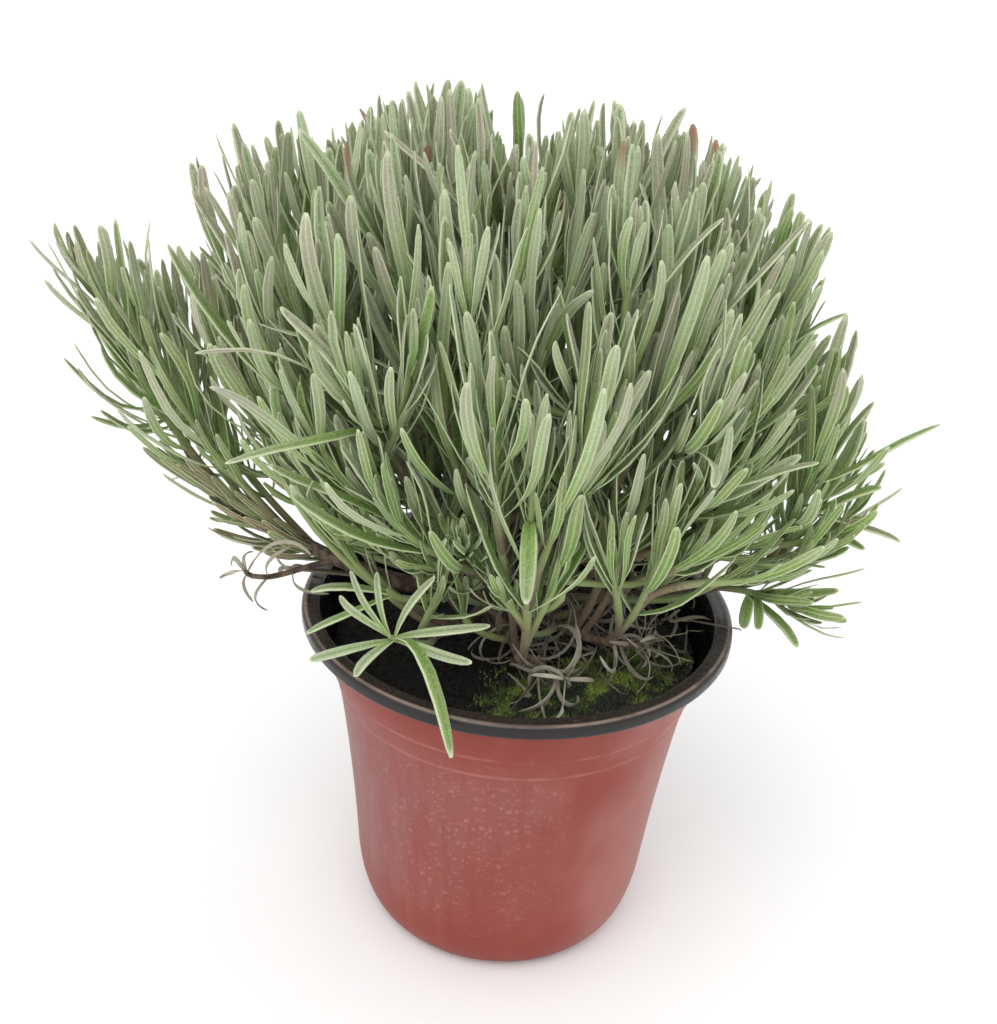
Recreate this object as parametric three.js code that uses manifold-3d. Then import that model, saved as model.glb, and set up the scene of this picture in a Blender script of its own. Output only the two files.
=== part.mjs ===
// Potted lavender: a bushy lavender, not in flower, in a thin two-colour nursery pot.
// Millimetres, +Z up. The origin is the centre of the pot's flat underside, and -Y is the front.
//
// The pot is one formed sheet, filled with soil. A short woody stock stands in a hole in the soil
// and branches into limbs. Each leafy shoot is a square stem with pairs of leaves set crosswise,
// and it starts a hair's breadth off the limb that it grows from. Every leaf is a thin blade with
// a raised keel, and is turned or tilted until it is clear of the other shoots.

import * as THREE from "three";
import { mergeVertices } from "three/addons/utils/BufferGeometryUtils.js";
import Module from "manifold-3d";

const wasm = await Module();
wasm.setup();

// Driving dimensions of the pot and soil.
const RIM_RADIUS = 75;
const POT_HEIGHT = 126;
const POT_SIDES = 28;
const WALL = 1.2;
const BASE_THICKNESS = 2.4;
const LIP_DROP = 4.4;
const LIP_THICKNESS = 1.2;
const SOIL_TOP = 108;
const SEAT_GAP = 0.3;

// Stations on the outside of the wall, as radius and height: the edge of the flat underside, the top
// of the rounded foot, two grooves with a band between them, and the neck under the flange.
const station = (radius, height) => new THREE.Vector2(radius, height);
const FOOT_EDGE = station(45, 0);
const FOOT_CORNER = station(50.5, 7.5);
const FOOT_TOP = station(54.2, 22);
const GROOVE_LOW = station(62.4, 96.5);
const GROOVE_HIGH = station(64.9, 105);
const NECK = station(69.8, POT_HEIGHT - 3.6);

// Holes through the base, and notches across the edge of the foot that let water run out.
const DRAIN_RADIUS = 4;
const DRAIN_COUNT = 4;
const DRAIN_CIRCLE = 30;
const NOTCH_LENGTH = 14;
const NOTCH_WIDTH = 8;
const NOTCH_HEIGHT = 1.4;
const NOTCH_BEARINGS = [-66, 24, 114, 204];

// Driving dimensions of the plant.
const STOCK_X = -6;
const STOCK_Y = 8;
const STOCK_RADIUS = 6.5;
const STOCK_DEPTH = 46;
const STOCK_TOP = SOIL_TOP + 12;
const LIMB_SIDES = 5;
const STEM_RADIUS = 1.45;
const STEM_TIP_RADIUS = 1.15;
const LEAF_LENGTH = 48;
const LEAF_WIDTH = 4.4;
const LEAF_KEEL = 0.65;
const LEAF_EDGE_LIFT = 0.25;
const CLEARANCE = 0.35;

const UP = new THREE.Vector3(0, 0, 1);
const radians = THREE.MathUtils.degToRad;
const vec = (x, y, z) => new THREE.Vector3(x, y, z);

// One repeatable stream of numbers from 0 to 1 for each shoot.
function seededRandom(seed) {
  let state = (seed * 2654435761) >>> 0;
  return () => {
    state = (Math.imul(state, 1664525) + 1013904223) >>> 0;
    return state / 4294967296;
  };
}

// A closed body through rings of points. A later ring may have fewer: its last point then serves
// for the missing ones, so two points make a blade's blunt edge.
function loft(rings) {
  const faces = [];
  let start = 0;
  for (let i = 0; i < rings.length - 1; i++) {
    const sides = rings[i].length;
    const above = (k) => start + sides + Math.min(k, rings[i + 1].length - 1);
    for (let k = 0; k < sides; k++) {
      const next = (k + 1) % sides;
      faces.push(start + k, start + next, above(next));
      if (above(k) !== above(next)) faces.push(start + k, above(next), above(k));
    }
    start += sides;
  }
  for (let k = 1; k < rings[0].length - 1; k++) faces.push(0, k + 1, k);
  for (let k = 1; k < rings.at(-1).length - 1; k++) faces.push(start, start + k, start + k + 1);
  return new THREE.BufferGeometry().setFromPoints(rings.flat()).setIndex(faces);
}

function solidOf(geometry) {
  const bare = geometry.clone();
  bare.deleteAttribute("normal");
  bare.deleteAttribute("uv");
  const merged = mergeVertices(bare, 1e-4);
  return new wasm.Manifold(
    new wasm.Mesh({
      numProp: 3,
      vertProperties: new Float32Array(merged.attributes.position.array),
      triVerts: new Uint32Array(merged.index.array),
    }),
  );
}

function geometryOf(solid) {
  const mesh = solid.getMesh();
  const position = new THREE.BufferAttribute(new Float32Array(mesh.vertProperties), 3);
  const geometry = new THREE.BufferGeometry().setAttribute("position", position);
  return geometry.setIndex(new THREE.BufferAttribute(new Uint32Array(mesh.triVerts), 1));
}

const union = (solids) => solids.reduce((whole, next) => whole.add(next));

// The largest body of a solid, without the slivers that joining its parts has left.
const SLIVER = 0.02;
const largestBody = (solid) =>
  solid.decompose().sort((a, b) => b.volume() - a.volume())[0].simplify(SLIVER);

function node(name, solid, material) {
  const geometry = geometryOf(solid);
  geometry.computeVertexNormals();
  const mesh = new THREE.Mesh(geometry, material);
  mesh.name = name;
  return mesh;
}

const paint = (color, roughness) => new THREE.MeshStandardMaterial({ color, roughness });
const MATERIALS = {
  pot: paint(0x9c4f45, 0.45),
  soil: paint(0x2a221b, 0.95),
  wood: paint(0x6b5344, 0.85),
  leaf: paint(0x86977a, 0.75),
  dry: paint(0x8f877a, 0.85),
};

// The pot is a wall that flares to a flat flange with a turned-down lip. It is drawn in section,
// from the edge of the underside up the outside and over the lip, then down the inside to the floor.
const bowed = (from, control, to) => new THREE.QuadraticBezierCurve(from, control, to);

function potOutside() {
  const foot = bowed(FOOT_EDGE, station(52.2, 2), FOOT_TOP).getPoints(3);
  const side = bowed(FOOT_TOP, station(57.5, 66), GROOVE_LOW).getPoints(2);
  const flare = bowed(GROOVE_HIGH, station(67.6, 112.5), NECK).getPoints(2);
  const lip = [
    station(RIM_RADIUS - LIP_THICKNESS, POT_HEIGHT - LIP_DROP),
    station(RIM_RADIUS, POT_HEIGHT - LIP_DROP),
    station(RIM_RADIUS, POT_HEIGHT - LIP_THICKNESS),
    station(RIM_RADIUS - LIP_THICKNESS, POT_HEIGHT),
    station(NECK.x, POT_HEIGHT),
  ];
  return [...foot, ...side.slice(1), ...flare, ...lip];
}

function potInside() {
  const mouth = station(NECK.x, POT_HEIGHT - LIP_THICKNESS);
  const floor = station(FOOT_EDGE.x, BASE_THICKNESS);
  const stations = [mouth, GROOVE_HIGH, GROOVE_LOW, FOOT_TOP, FOOT_CORNER, floor];
  return stations.map((place) => station(place.x - WALL, place.y));
}

function potSolid() {
  const outline = [station(0, 0), ...potOutside(), ...potInside(), station(0, BASE_THICKNESS)];
  const pot = solidOf(new THREE.LatheGeometry(outline, POT_SIDES).rotateX(Math.PI / 2));
  const drains = Array.from({ length: DRAIN_COUNT }, (_, i) => {
    const angle = (2 * Math.PI * i) / DRAIN_COUNT;
    const drill = new THREE.CylinderGeometry(DRAIN_RADIUS, DRAIN_RADIUS, 3 * BASE_THICKNESS, 6);
    drill.rotateX(Math.PI / 2).translate(DRAIN_CIRCLE, 0, 0);
    return solidOf(drill.rotateZ(angle));
  });
  const notches = NOTCH_BEARINGS.map((bearing) => {
    const notch = new THREE.BoxGeometry(NOTCH_LENGTH, NOTCH_WIDTH, 2 * NOTCH_HEIGHT);
    return solidOf(notch.translate(FOOT_EDGE.x, 0, 0).rotateZ(radians(bearing)));
  });
  return pot.subtract(union([...drains, ...notches]));
}

// The soil follows the pot's inside. Its top is lumpy, and higher at the front right, under the moss.
const soilRelief = (x, y) =>
  0.9 * Math.sin(x / 9 + 1.3) * Math.cos(y / 11) +
  0.5 * Math.sin((x + y) / 5) +
  2.2 * Math.exp(-((x - 30) ** 2 + (y + 34) ** 2) / 500);

function soilSolid() {
  const ring = (radius, height) =>
    Array.from({ length: POT_SIDES }, (_, k) => {
      const angle = (2 * Math.PI * k) / POT_SIDES;
      const [x, y] = [radius * Math.cos(angle), radius * Math.sin(angle)];
      return vec(x, y, height ?? SOIL_TOP + soilRelief(x, y));
    });
  const [mouth, neck, ...lower] = potInside();
  const wall = lower.reverse().map((place) => ring(place.x - 1.5 * SEAT_GAP, place.y + SEAT_GAP));
  const brim = neck.clone().lerp(mouth, (SOIL_TOP - neck.y) / (mouth.y - neck.y)).x - 3 * SEAT_GAP;
  const top = [1, 0.78, 0.46].map((part) => ring(part * brim));
  const hole = loft(stockRings(SEAT_GAP, SOIL_TOP + 8));
  return solidOf(loft([...wall, ...top])).subtract(solidOf(hole));
}

// A ring of points round a place on a stem or limb.
function ringAcross(centre, tangent, radius, sides, turn = 0) {
  const across = Math.abs(tangent.z) < 0.9 ? UP.clone().cross(tangent) : vec(0, 1, 0).cross(tangent);
  across.normalize();
  const other = tangent.clone().cross(across);
  return Array.from({ length: sides }, (_, k) => {
    const angle = turn + (2 * Math.PI * k) / sides;
    return centre
      .clone()
      .addScaledVector(across, radius * Math.cos(angle))
      .addScaledVector(other, radius * Math.sin(angle));
  });
}

// The stock tapers down into the soil. The same rings, wider by a gap, are the hole that it stands in.
function stockRings(gap, top) {
  const heights = [SOIL_TOP - STOCK_DEPTH - gap, SOIL_TOP - 8, top];
  const radii = [0.5, 0.86, 1].map((part) => part * STOCK_RADIUS + gap);
  return heights.map((z, i) => ringAcross(vec(STOCK_X, STOCK_Y, z), UP, radii[i], 7));
}

// The limbs. Each leaves the stock at its top and ends where its bearing, reach and height say.
const STOCK_HEAD = vec(STOCK_X, STOCK_Y, STOCK_TOP);
const LIMBS = [];
const limbTo = (end, rise, radius) => LIMBS.push({ end, rise, radius }) - 1;
for (const bearing of [33, 84, 134, 226, 270, 318]) {
  const [c, s] = [Math.cos(radians(bearing)), Math.sin(radians(bearing))];
  limbTo(vec(STOCK_X + 36 * c, STOCK_Y + 32 * s, 143), 0.3, 2.6);
}
limbTo(vec(-8, 10, 160), 0.6, 3);
const FRONT_LIMB = limbTo(vec(30, -26, 127), 0.15, 2.2);
const LOW_FRONT_LIMB = limbTo(vec(2, -38, 125), 0.15, 2.2);
const LEFT_LIMB = limbTo(vec(-110, 7, 160), 0.04, 2.8);
const RIGHT_LIMB = limbTo(vec(88, 4, 142), 0.08, 2.6);
const LOW_LIMB = limbTo(vec(-32, -28, 123), 0.1, 2.2);

// rise is how much of the climb is done half-way out, so a small rise makes a limb that sweeps out low.
for (const limb of LIMBS) {
  const middle = STOCK_HEAD.clone().lerp(limb.end, 0.55);
  middle.z = THREE.MathUtils.lerp(STOCK_HEAD.z, limb.end.z, limb.rise);
  limb.curve = new THREE.QuadraticBezierCurve3(STOCK_HEAD, middle, limb.end);
}

const limbRadius = (limb, t, gap = 0) => limb.radius * (1.25 - 0.55 * t) + gap;

function limbSolid(limb, gap = 0) {
  const steps = [0, 0.3, 0.65, 1];
  const rings = steps.map((t) => {
    const centre = limb.curve.getPoint(t).addScaledVector(limb.curve.getTangent(t), t * gap);
    return ringAcross(centre, limb.curve.getTangent(t), limbRadius(limb, t, gap), LIMB_SIDES);
  });
  return solidOf(loft(rings));
}

function crownSolid(gap = 0) {
  const stock = solidOf(loft(stockRings(gap, STOCK_TOP + 3)));
  return union([stock, ...LIMBS.map((limb) => limbSolid(limb, gap))]);
}

// What is already in place, as short thick lines. A new line has to keep clear of all but its own node.
const inPlace = [];

function lineGap(a, b, c, d) {
  const [u, v, w] = [b.clone().sub(a), d.clone().sub(c), a.clone().sub(c)];
  const [uu, uv, vv, uw, vw] = [u.dot(u), u.dot(v), v.dot(v), u.dot(w), v.dot(w)];
  const clamp = (x) => Math.min(1, Math.max(0, x));
  const spread = uu * vv - uv * uv;
  let s = spread > 1e-9 ? clamp((uv * vw - vv * uw) / spread) : 0;
  const t = clamp((uv * s + vw) / vv);
  s = clamp((uv * t - uw) / uu);
  return w.addScaledVector(u, s).addScaledVector(v, -t).length();
}

const isApart = (a, b) => lineGap(a.a, a.b, b.a, b.b) > a.radius + b.radius + CLEARANCE;

// Leaves of one shoot may only meet in their first stretch, near the stem.
const mayMeet = (line, other) => line.owner === other.owner && !(line.free && other.free);
const isFree = (line) => inPlace.every((other) => mayMeet(line, other) || isApart(line, other));
const isClear = (lines) => lines.every((line) => offPot(line) && isFree(line));

// Above the soil inside the pot, and off its wall and flange.
const offPot = ({ a, b, radius }) =>
  [0, 0.33, 0.67, 1].every((share) => {
    const point = a.clone().lerp(b, share);
    const reach = Math.hypot(point.x, point.y);
    if (reach < RIM_RADIUS - 12) return point.z > SOIL_TOP + 3 + radius;
    if (reach < RIM_RADIUS + 1 + radius) return point.z > POT_HEIGHT + 0.6 + radius;
    return true;
  });

function linesAlong(points, radii, owner) {
  return points.slice(1).map((b, i) => {
    const radius = Math.max(radii[i], radii[i + 1]);
    return { a: points[i], b, radius, owner };
  });
}

LIMBS.forEach((limb, index) => {
  const steps = [0, 0.2, 0.4, 0.6, 0.8, 1];
  const points = steps.map((t) => limb.curve.getPoint(t));
  inPlace.push(...linesAlong(points, steps.map((t) => limbRadius(limb, t)), "limb_" + index));
});

// The shoots. Those of the bush end on a dome, spread by the golden angle, with a lower ring of
// shorter ones round them. Each grows from the limb with the shortest clear way. The outreaching
// limbs carry a spray of their own.
const GOLDEN_ANGLE = Math.PI * (3 - Math.sqrt(5));
const DOME = { x: -12, y: 4, halfWidth: 93, halfDepth: 62, top: 275, drop: 28, count: 23 };
const RING = { x: -4, y: 2, halfWidth: 78, halfDepth: 57, top: 190, waver: 12, count: 11 };
const shoots = [];

for (let i = 0; i < RING.count; i++) {
  const angle = (2 * Math.PI * (i + 0.35)) / RING.count;
  const x = RING.x + RING.halfWidth * Math.cos(angle);
  const y = RING.y + RING.halfDepth * Math.sin(angle);
  shoots.push({ tip: vec(x, y, RING.top + RING.waver * Math.cos(2.4 * i)), habit: "leafy" });
}

// Sprays: their limb, the middle and spread of their tips, and how many shoots.
const SPRAYS = [
  { limb: LEFT_LIMB, middle: vec(-132, 10, 218), spread: vec(20, 26, 18), count: 6 },
  { limb: RIGHT_LIMB, middle: vec(94, 4, 186), spread: vec(10, 26, 22), count: 3 },
];
for (const spray of SPRAYS)
  for (let i = 0; i < spray.count; i++) {
    const out = Math.sqrt((i + 0.5) / spray.count);
    const angle = i * GOLDEN_ANGLE + 1.9;
    const tip = vec(
      spray.middle.x + spray.spread.x * out * Math.cos(angle),
      spray.middle.y + spray.spread.y * out * Math.sin(angle),
      spray.middle.z + spray.spread.z * out * Math.cos(angle + 2.2),
    );
    shoots.push({ tip, limb: spray.limb, habit: "leafy" });
  }

// Low shoots: one at the front, one that hangs out over the flange at the right, and a small
// rosette at the front left that faces forward.
shoots.push({ tip: vec(-24, -44, 160), limb: LOW_LIMB, habit: "small" });
shoots.push({ tip: vec(92, -10, 137), limb: RIGHT_LIMB, habit: "small", facing: vec(0.9, -0.3, -0.2) });
shoots.push({ tip: vec(-40, -53, 141), limb: LOW_LIMB, habit: "star", facing: vec(-0.1, -0.8, 0.6) });

// Dead twigs with curled grey leaves: two low over the soil and one outside the pot at the left.
shoots.push({ tip: vec(46, -24, 129), limb: FRONT_LIMB, habit: "dry" });
shoots.push({ tip: vec(16, -50, 128), limb: LOW_FRONT_LIMB, habit: "dry" });
shoots.push({ tip: vec(-94, -12, 137), limb: LEFT_LIMB, habit: "dry" });

for (let i = 0; i < DOME.count; i++) {
  const out = Math.sqrt((i + 0.5) / DOME.count);
  const angle = i * GOLDEN_ANGLE + 0.6;
  const x = DOME.x + DOME.halfWidth * out * Math.cos(angle);
  const y = DOME.y + DOME.halfDepth * out * Math.sin(angle);
  shoots.push({ tip: vec(x, y, DOME.top - DOME.drop * out ** 2.4), habit: "leafy" });
}

// Bow is how far the stem swings out to one side on its way up.
function stemCurve(tip, limb, at, bow, facing) {
  const base = limb.curve.getPoint(at);
  const along = limb.curve.getTangent(at);
  const reach = tip.clone().sub(base);
  const length = reach.length();
  const bearing = Math.atan2(reach.y, reach.x);
  const aside = vec(-Math.sin(bearing), Math.cos(bearing), 0);
  const lean = Math.atan2(Math.hypot(reach.x, reach.y), reach.z);
  const leaning = (angle) =>
    vec(Math.cos(bearing) * Math.sin(angle), Math.sin(bearing) * Math.sin(angle), Math.cos(angle));
  const start = leaning(lean).addScaledVector(along, 0.5).normalize();
  const first = base.clone().addScaledVector(start, 0.35 * length).addScaledVector(aside, bow);
  const last = tip.clone().addScaledVector(facing ?? leaning(0.45 * lean), -0.35 * length);
  last.addScaledVector(aside, bow);
  return new THREE.CubicBezierCurve3(base, first, last, tip);
}

const STEM_STEPS = [0, 0.3, 0.55, 0.8, 1];
const stemRadius = (t) => THREE.MathUtils.lerp(STEM_RADIUS, STEM_TIP_RADIUS, t);
const BOWS = [0, 4, -4, 8, -8, 12, -12, 18, -18, 25, -25];
const STARTS = [1, 0.92, 0.84, 0.76, 0.68, 0.6, 0.52, 0.44];

// Every way for a stem to reach its tip, the shortest and straightest first.
function stemWays(shoot) {
  const ways = [];
  LIMBS.forEach((limb, index) => {
    if (shoot.limb !== undefined ? shoot.limb !== index : index >= LEFT_LIMB) return;
    for (const at of STARTS)
      for (const bow of BOWS) {
        const curve = stemCurve(shoot.tip, limb, at, bow, shoot.facing);
        const base = curve.getPoint(0);
        const length = base.distanceTo(shoot.tip);
        const sideways = Math.hypot(base.x - shoot.tip.x, base.y - shoot.tip.y);
        ways.push({ index, curve, cost: length + sideways + 0.8 * Math.abs(bow) });
      }
  });
  return ways.sort((a, b) => a.cost - b.cost);
}

// The first stretch may touch the limb that it leaves: its foot is trimmed to that limb later.
const stemIsClear = (lines, limbName) =>
  lines.every(
    (line, stretch) =>
      (stretch === 0 || offPot(line)) &&
      inPlace.every((other) => (stretch === 0 && other.owner === limbName) || isApart(line, other)),
  );

const counts = { dry_twig: 0, shoot: 0 };
for (const shoot of shoots) {
  const kind = shoot.habit === "dry" ? "dry_twig" : "shoot";
  counts[kind] += 1;
  shoot.name = kind + "_" + String(counts[kind]).padStart(2, "0");
  for (const way of stemWays(shoot)) {
    const points = STEM_STEPS.map((t) => way.curve.getPoint(t));
    const lines = linesAlong(points, STEM_STEPS.map((t) => stemRadius(t)), shoot.name);
    if (!stemIsClear(lines, "limb_" + way.index)) continue;
    shoot.curve = way.curve;
    inPlace.push(...lines);
    break;
  }
  if (!shoot.curve) throw new Error("no clear way for the stem of " + shoot.name);
  shoot.leaves = [];
}

// A blade leaves the stem at one angle and ends at a smaller one. Its section is a shallow V with a keel.
const LEAF_STEPS = [0, 0.42, 0.93, 1];
const LEAF_SHARES = [0.17, 1, 0.84, 0.5];

// lean and tipLean are measured from the axis, towards the outward direction. rise is how strongly
// the outer half turns upright.
function leafFrom(root, axis, outward, plan) {
  const heading = (lean) =>
    axis.clone().multiplyScalar(Math.cos(radians(lean))).addScaledVector(outward, Math.sin(radians(lean)));
  const bend = root.clone().addScaledVector(heading(plan.lean), plan.length / 2);
  const upturned = heading(plan.tipLean).addScaledVector(UP, plan.rise).normalize();
  const tip = bend.clone().addScaledVector(upturned, plan.length / 2);
  const side = axis.clone().cross(outward).normalize();
  return { path: new THREE.QuadraticBezierCurve3(root, bend, tip), side, width: plan.width };
}

function leafLines(leaf, owner) {
  const points = LEAF_STEPS.map((u) => leaf.path.getPoint(u));
  const lines = linesAlong(points, LEAF_SHARES.map((share) => (share * leaf.width) / 2), owner);
  return lines.map((line, stretch) => ({ ...line, free: stretch > 0 }));
}

function leafSolid({ path, side, width }) {
  const rings = LEAF_STEPS.map((u, i) => {
    const centre = path.getPoint(u);
    const along = path.getTangent(u);
    const across = side.clone().addScaledVector(along, -side.dot(along)).normalize();
    const face = along.cross(across);
    const half = (LEAF_SHARES[i] * width) / 2;
    const edge = centre.clone().addScaledVector(face, LEAF_EDGE_LIFT);
    const edges = [edge.clone().addScaledVector(across, -half), edge.clone().addScaledVector(across, half)];
    return u < 1 ? [...edges, centre.clone().addScaledVector(face, -LEAF_KEEL)] : edges;
  });
  const solid = solidOf(loft(rings));
  return solid.volume() > 0 ? solid : solidOf(loft(rings.map((ring) => ring.toReversed())));
}

// The tries for a leaf that would cross a neighbour: degrees round the stem, and degrees of lean.
const TRIES = [0, -10, 12].flatMap((tilt) => [0, 14, -14, 28, -28, 42, -42].map((turn) => [turn, tilt]));

// A leaf to a given tip. Its middle is raised off the straight line by the arch.
function leafTo(tip, root, raised, arch, width) {
  const bend = root.clone().lerp(tip, 0.5).addScaledVector(raised, arch);
  const side = raised.clone().cross(tip.clone().sub(root)).normalize();
  return { path: new THREE.QuadraticBezierCurve3(root, bend, tip), side, width };
}

// The leaves of the rosette, by their tips and widths. They spread from the end of its stem.
const ROSETTE = [
  { tip: vec(-64, -58, 134), width: 3.7 },
  { tip: vec(-14, -61, 138), width: 3.8 },
  { tip: vec(-49, -62, 132), width: 4.6 },
  { tip: vec(-27, -50, 162), width: 3.8 },
  { tip: vec(-9, -54, 148), width: 3.8 },
  { tip: vec(-57, -47, 150), width: 3 },
  { tip: vec(-45, -42, 157), width: 3 },
  { tip: vec(-53, -41, 156), width: 2.8 },
];
const ROSETTE_ARCH = 5;

const rosetteShoot = shoots.find((shoot) => shoot.habit === "star");
rosetteShoot.leaves = ROSETTE.map(({ tip, width }, i) => {
  const t = 0.9 + 0.014 * i;
  const [root, axis] = [rosetteShoot.curve.getPoint(t), rosetteShoot.curve.getTangent(t)];
  const leaf = leafTo(tip, root, axis, ROSETTE_ARCH, width);
  const lines = leafLines(leaf, rosetteShoot.name);
  if (!isClear(lines)) throw new Error("rosette leaf " + i + " isn't clear");
  inPlace.push(...lines);
  return leaf;
});

// Single leaves that stand out from the rest: about where each starts, where its tip is, and how far
// its middle is raised.
const ACCENTS = [
  { near: vec(-38, -50, 134), tip: vec(-18, -80, 118), arch: 25, width: 4.6 },
  { near: vec(-4, -50, 186), tip: vec(-2, -66, 163), arch: 15, width: 5.4 },
  { near: vec(96, 2, 186), tip: vec(128, 0, 206), arch: -6, width: 4.2 },
  { near: vec(96, 2, 170), tip: vec(127, -4, 165), arch: 4, width: 4.4 },
  { near: vec(-128, 6, 186), tip: vec(-153, -4, 204), arch: -12, width: 3.4 },
  { near: vec(-26, -44, 205), tip: vec(-62, -52, 222), arch: 6, width: 4.2 },
];
const ACCENT_PLACES = [0.4, 0.5, 0.6, 0.7, 0.8, 0.9];

for (const accent of ACCENTS) {
  const places = shoots
    .filter((shoot) => shoot.habit !== "dry")
    .flatMap((shoot) => ACCENT_PLACES.map((t) => ({ shoot, root: shoot.curve.getPoint(t) })))
    .sort((a, b) => a.root.distanceTo(accent.near) - b.root.distanceTo(accent.near));
  for (const { shoot, root } of places) {
    const leaf = leafTo(accent.tip, root, UP, accent.arch, accent.width);
    const lines = leafLines(leaf, shoot.name);
    if (!isClear(lines)) continue;
    shoot.leaves.push(leaf);
    inPlace.push(...lines);
    break;
  }
}

// Square to the stem, so many degrees round it.
function outwardAt(shoot, t, degrees) {
  const tangent = shoot.curve.getTangent(t);
  const bearing = Math.atan2(shoot.tip.y - STOCK_Y, shoot.tip.x - STOCK_X);
  const over = vec(-Math.sin(bearing), Math.cos(bearing), 0).cross(tangent).normalize();
  const level = tangent.cross(over).normalize();
  return over.multiplyScalar(Math.cos(radians(degrees))).addScaledVector(level, Math.sin(radians(degrees)));
}

// How the leaves of each kind of shoot stand: from how far up the stem, at what angles at the lowest
// pair, how much the angles close up towards the top pair, how much the leaves turn up, and how large.
// The rosette has none but the leaves above.
const HABITS = {
  leafy: { pairs: 4, from: 0.36, lean: 44, tipLean: 14, closing: 26, rise: 0.5, size: 1, slim: 1 },
  small: { pairs: 3, from: 0.5, lean: 46, tipLean: 16, closing: 26, rise: 0.25, size: 0.7, slim: 1 },
  star: { pairs: 0 },
  dry: { pairs: 3, from: 0.45, lean: 58, tipLean: 150, closing: 10, rise: 0, size: 0.55, slim: 0.62 },
};

function growLeaves(shoot, index) {
  const random = seededRandom(index + 1);
  const spread = (amount) => amount * (2 * random() - 1);
  const habit = HABITS[shoot.habit];
  shoot.firstTurn = 90 * random();
  for (let pair = 0; pair < habit.pairs; pair++) {
    const share = pair / (habit.pairs - 1);
    const t = THREE.MathUtils.lerp(habit.from, 0.93, share);
    for (let half = 0; half < 2; half++) {
      const size = habit.size * (1 - 0.36 * share ** 3) * (1 + spread(0.12));
      const turn = shoot.firstTurn + 90 * pair + 180 * half + spread(12);
      const plan = {
        lean: habit.lean - habit.closing * share + spread(8),
        tipLean: habit.tipLean - 0.3 * habit.closing * share + spread(10),
        rise: habit.rise,
        length: LEAF_LENGTH * size,
        width: habit.slim * LEAF_WIDTH * (0.75 + 0.25 * size) * (1 + spread(0.12)),
      };
      for (const [aside, tilt] of TRIES) {
        const tilted = { ...plan, lean: plan.lean + tilt, tipLean: plan.tipLean + 0.5 * tilt };
        const outward = outwardAt(shoot, t, turn + aside);
        const leaf = leafFrom(shoot.curve.getPoint(t), shoot.curve.getTangent(t), outward, tilted);
        const lines = leafLines(leaf, shoot.name);
        if (!isClear(lines)) continue;
        inPlace.push(...lines);
        shoot.leaves.push(leaf);
        break;
      }
    }
  }
}

// The stem is square, and its faces look the way the leaf pairs do.
function stemSolid(shoot) {
  const rings = STEM_STEPS.map((t) => {
    const centre = shoot.curve.getPoint(t);
    return [45, 135, 225, 315].map((corner) =>
      centre.clone().addScaledVector(outwardAt(shoot, t, shoot.firstTurn + corner), stemRadius(t)),
    );
  });
  return solidOf(loft(rings));
}

const potMesh = node("pot", potSolid(), MATERIALS.pot);
const soilMesh = node("soil", soilSolid(), MATERIALS.soil);
const crownMesh = node("woody_crown", crownSolid(), MATERIALS.wood);
const crownKept = crownSolid(SEAT_GAP);

const shootMeshes = shoots.map((shoot, index) => {
  growLeaves(shoot, index);
  const whole = union([stemSolid(shoot), ...shoot.leaves.map(leafSolid)]);
  const material = shoot.habit === "dry" ? MATERIALS.dry : MATERIALS.leaf;
  return node(shoot.name, largestBody(whole.subtract(crownKept)), material);
});

const plant = new THREE.Group();
plant.name = "plant";
plant.add(crownMesh, ...shootMeshes);

const pottedLavender = new THREE.Group();
pottedLavender.name = "potted_lavender";
pottedLavender.add(potMesh, soilMesh, plant);

export default pottedLavender;
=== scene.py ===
# %% [markdown]
# # Potted lavender
# A bushy lavender without flowers, in a thin nursery pot that is brick red outside and near-black
# inside. The solids come packed from CAD as a fixed frame: a pot, its soil, the old wood, and a
# square stem with a few broad leaves for each shoot. This file dresses them. It keeps where every
# stem and leaf goes, gives each its real shape, and adds the many leaves between.

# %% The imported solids
import math
import bmesh
import bpy
import numpy as np
from mathutils import Matrix, Vector


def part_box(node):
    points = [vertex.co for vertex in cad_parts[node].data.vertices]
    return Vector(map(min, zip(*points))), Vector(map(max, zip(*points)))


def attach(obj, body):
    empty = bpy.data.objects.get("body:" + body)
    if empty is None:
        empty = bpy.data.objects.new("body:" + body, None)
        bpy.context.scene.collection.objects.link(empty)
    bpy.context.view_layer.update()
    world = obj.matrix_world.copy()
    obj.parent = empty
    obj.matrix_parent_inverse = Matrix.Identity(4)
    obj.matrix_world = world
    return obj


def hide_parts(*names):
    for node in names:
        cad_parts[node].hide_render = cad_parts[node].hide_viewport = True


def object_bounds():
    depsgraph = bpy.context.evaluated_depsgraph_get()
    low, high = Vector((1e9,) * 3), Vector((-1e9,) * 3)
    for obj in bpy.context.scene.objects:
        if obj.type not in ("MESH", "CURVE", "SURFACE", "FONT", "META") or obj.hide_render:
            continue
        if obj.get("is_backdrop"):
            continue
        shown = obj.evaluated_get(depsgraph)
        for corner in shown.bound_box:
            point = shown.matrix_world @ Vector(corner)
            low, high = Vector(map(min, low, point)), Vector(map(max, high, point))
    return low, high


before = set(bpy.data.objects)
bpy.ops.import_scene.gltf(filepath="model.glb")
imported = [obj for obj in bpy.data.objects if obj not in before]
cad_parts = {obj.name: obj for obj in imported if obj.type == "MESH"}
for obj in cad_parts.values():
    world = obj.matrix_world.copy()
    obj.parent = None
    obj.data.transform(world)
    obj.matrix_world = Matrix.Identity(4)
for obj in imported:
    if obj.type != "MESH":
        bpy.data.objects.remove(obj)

MM = 0.001
box_after_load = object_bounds()
print("solids:", len(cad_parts), "box:", [tuple(round(c, 4) for c in v) for v in box_after_load])

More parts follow.
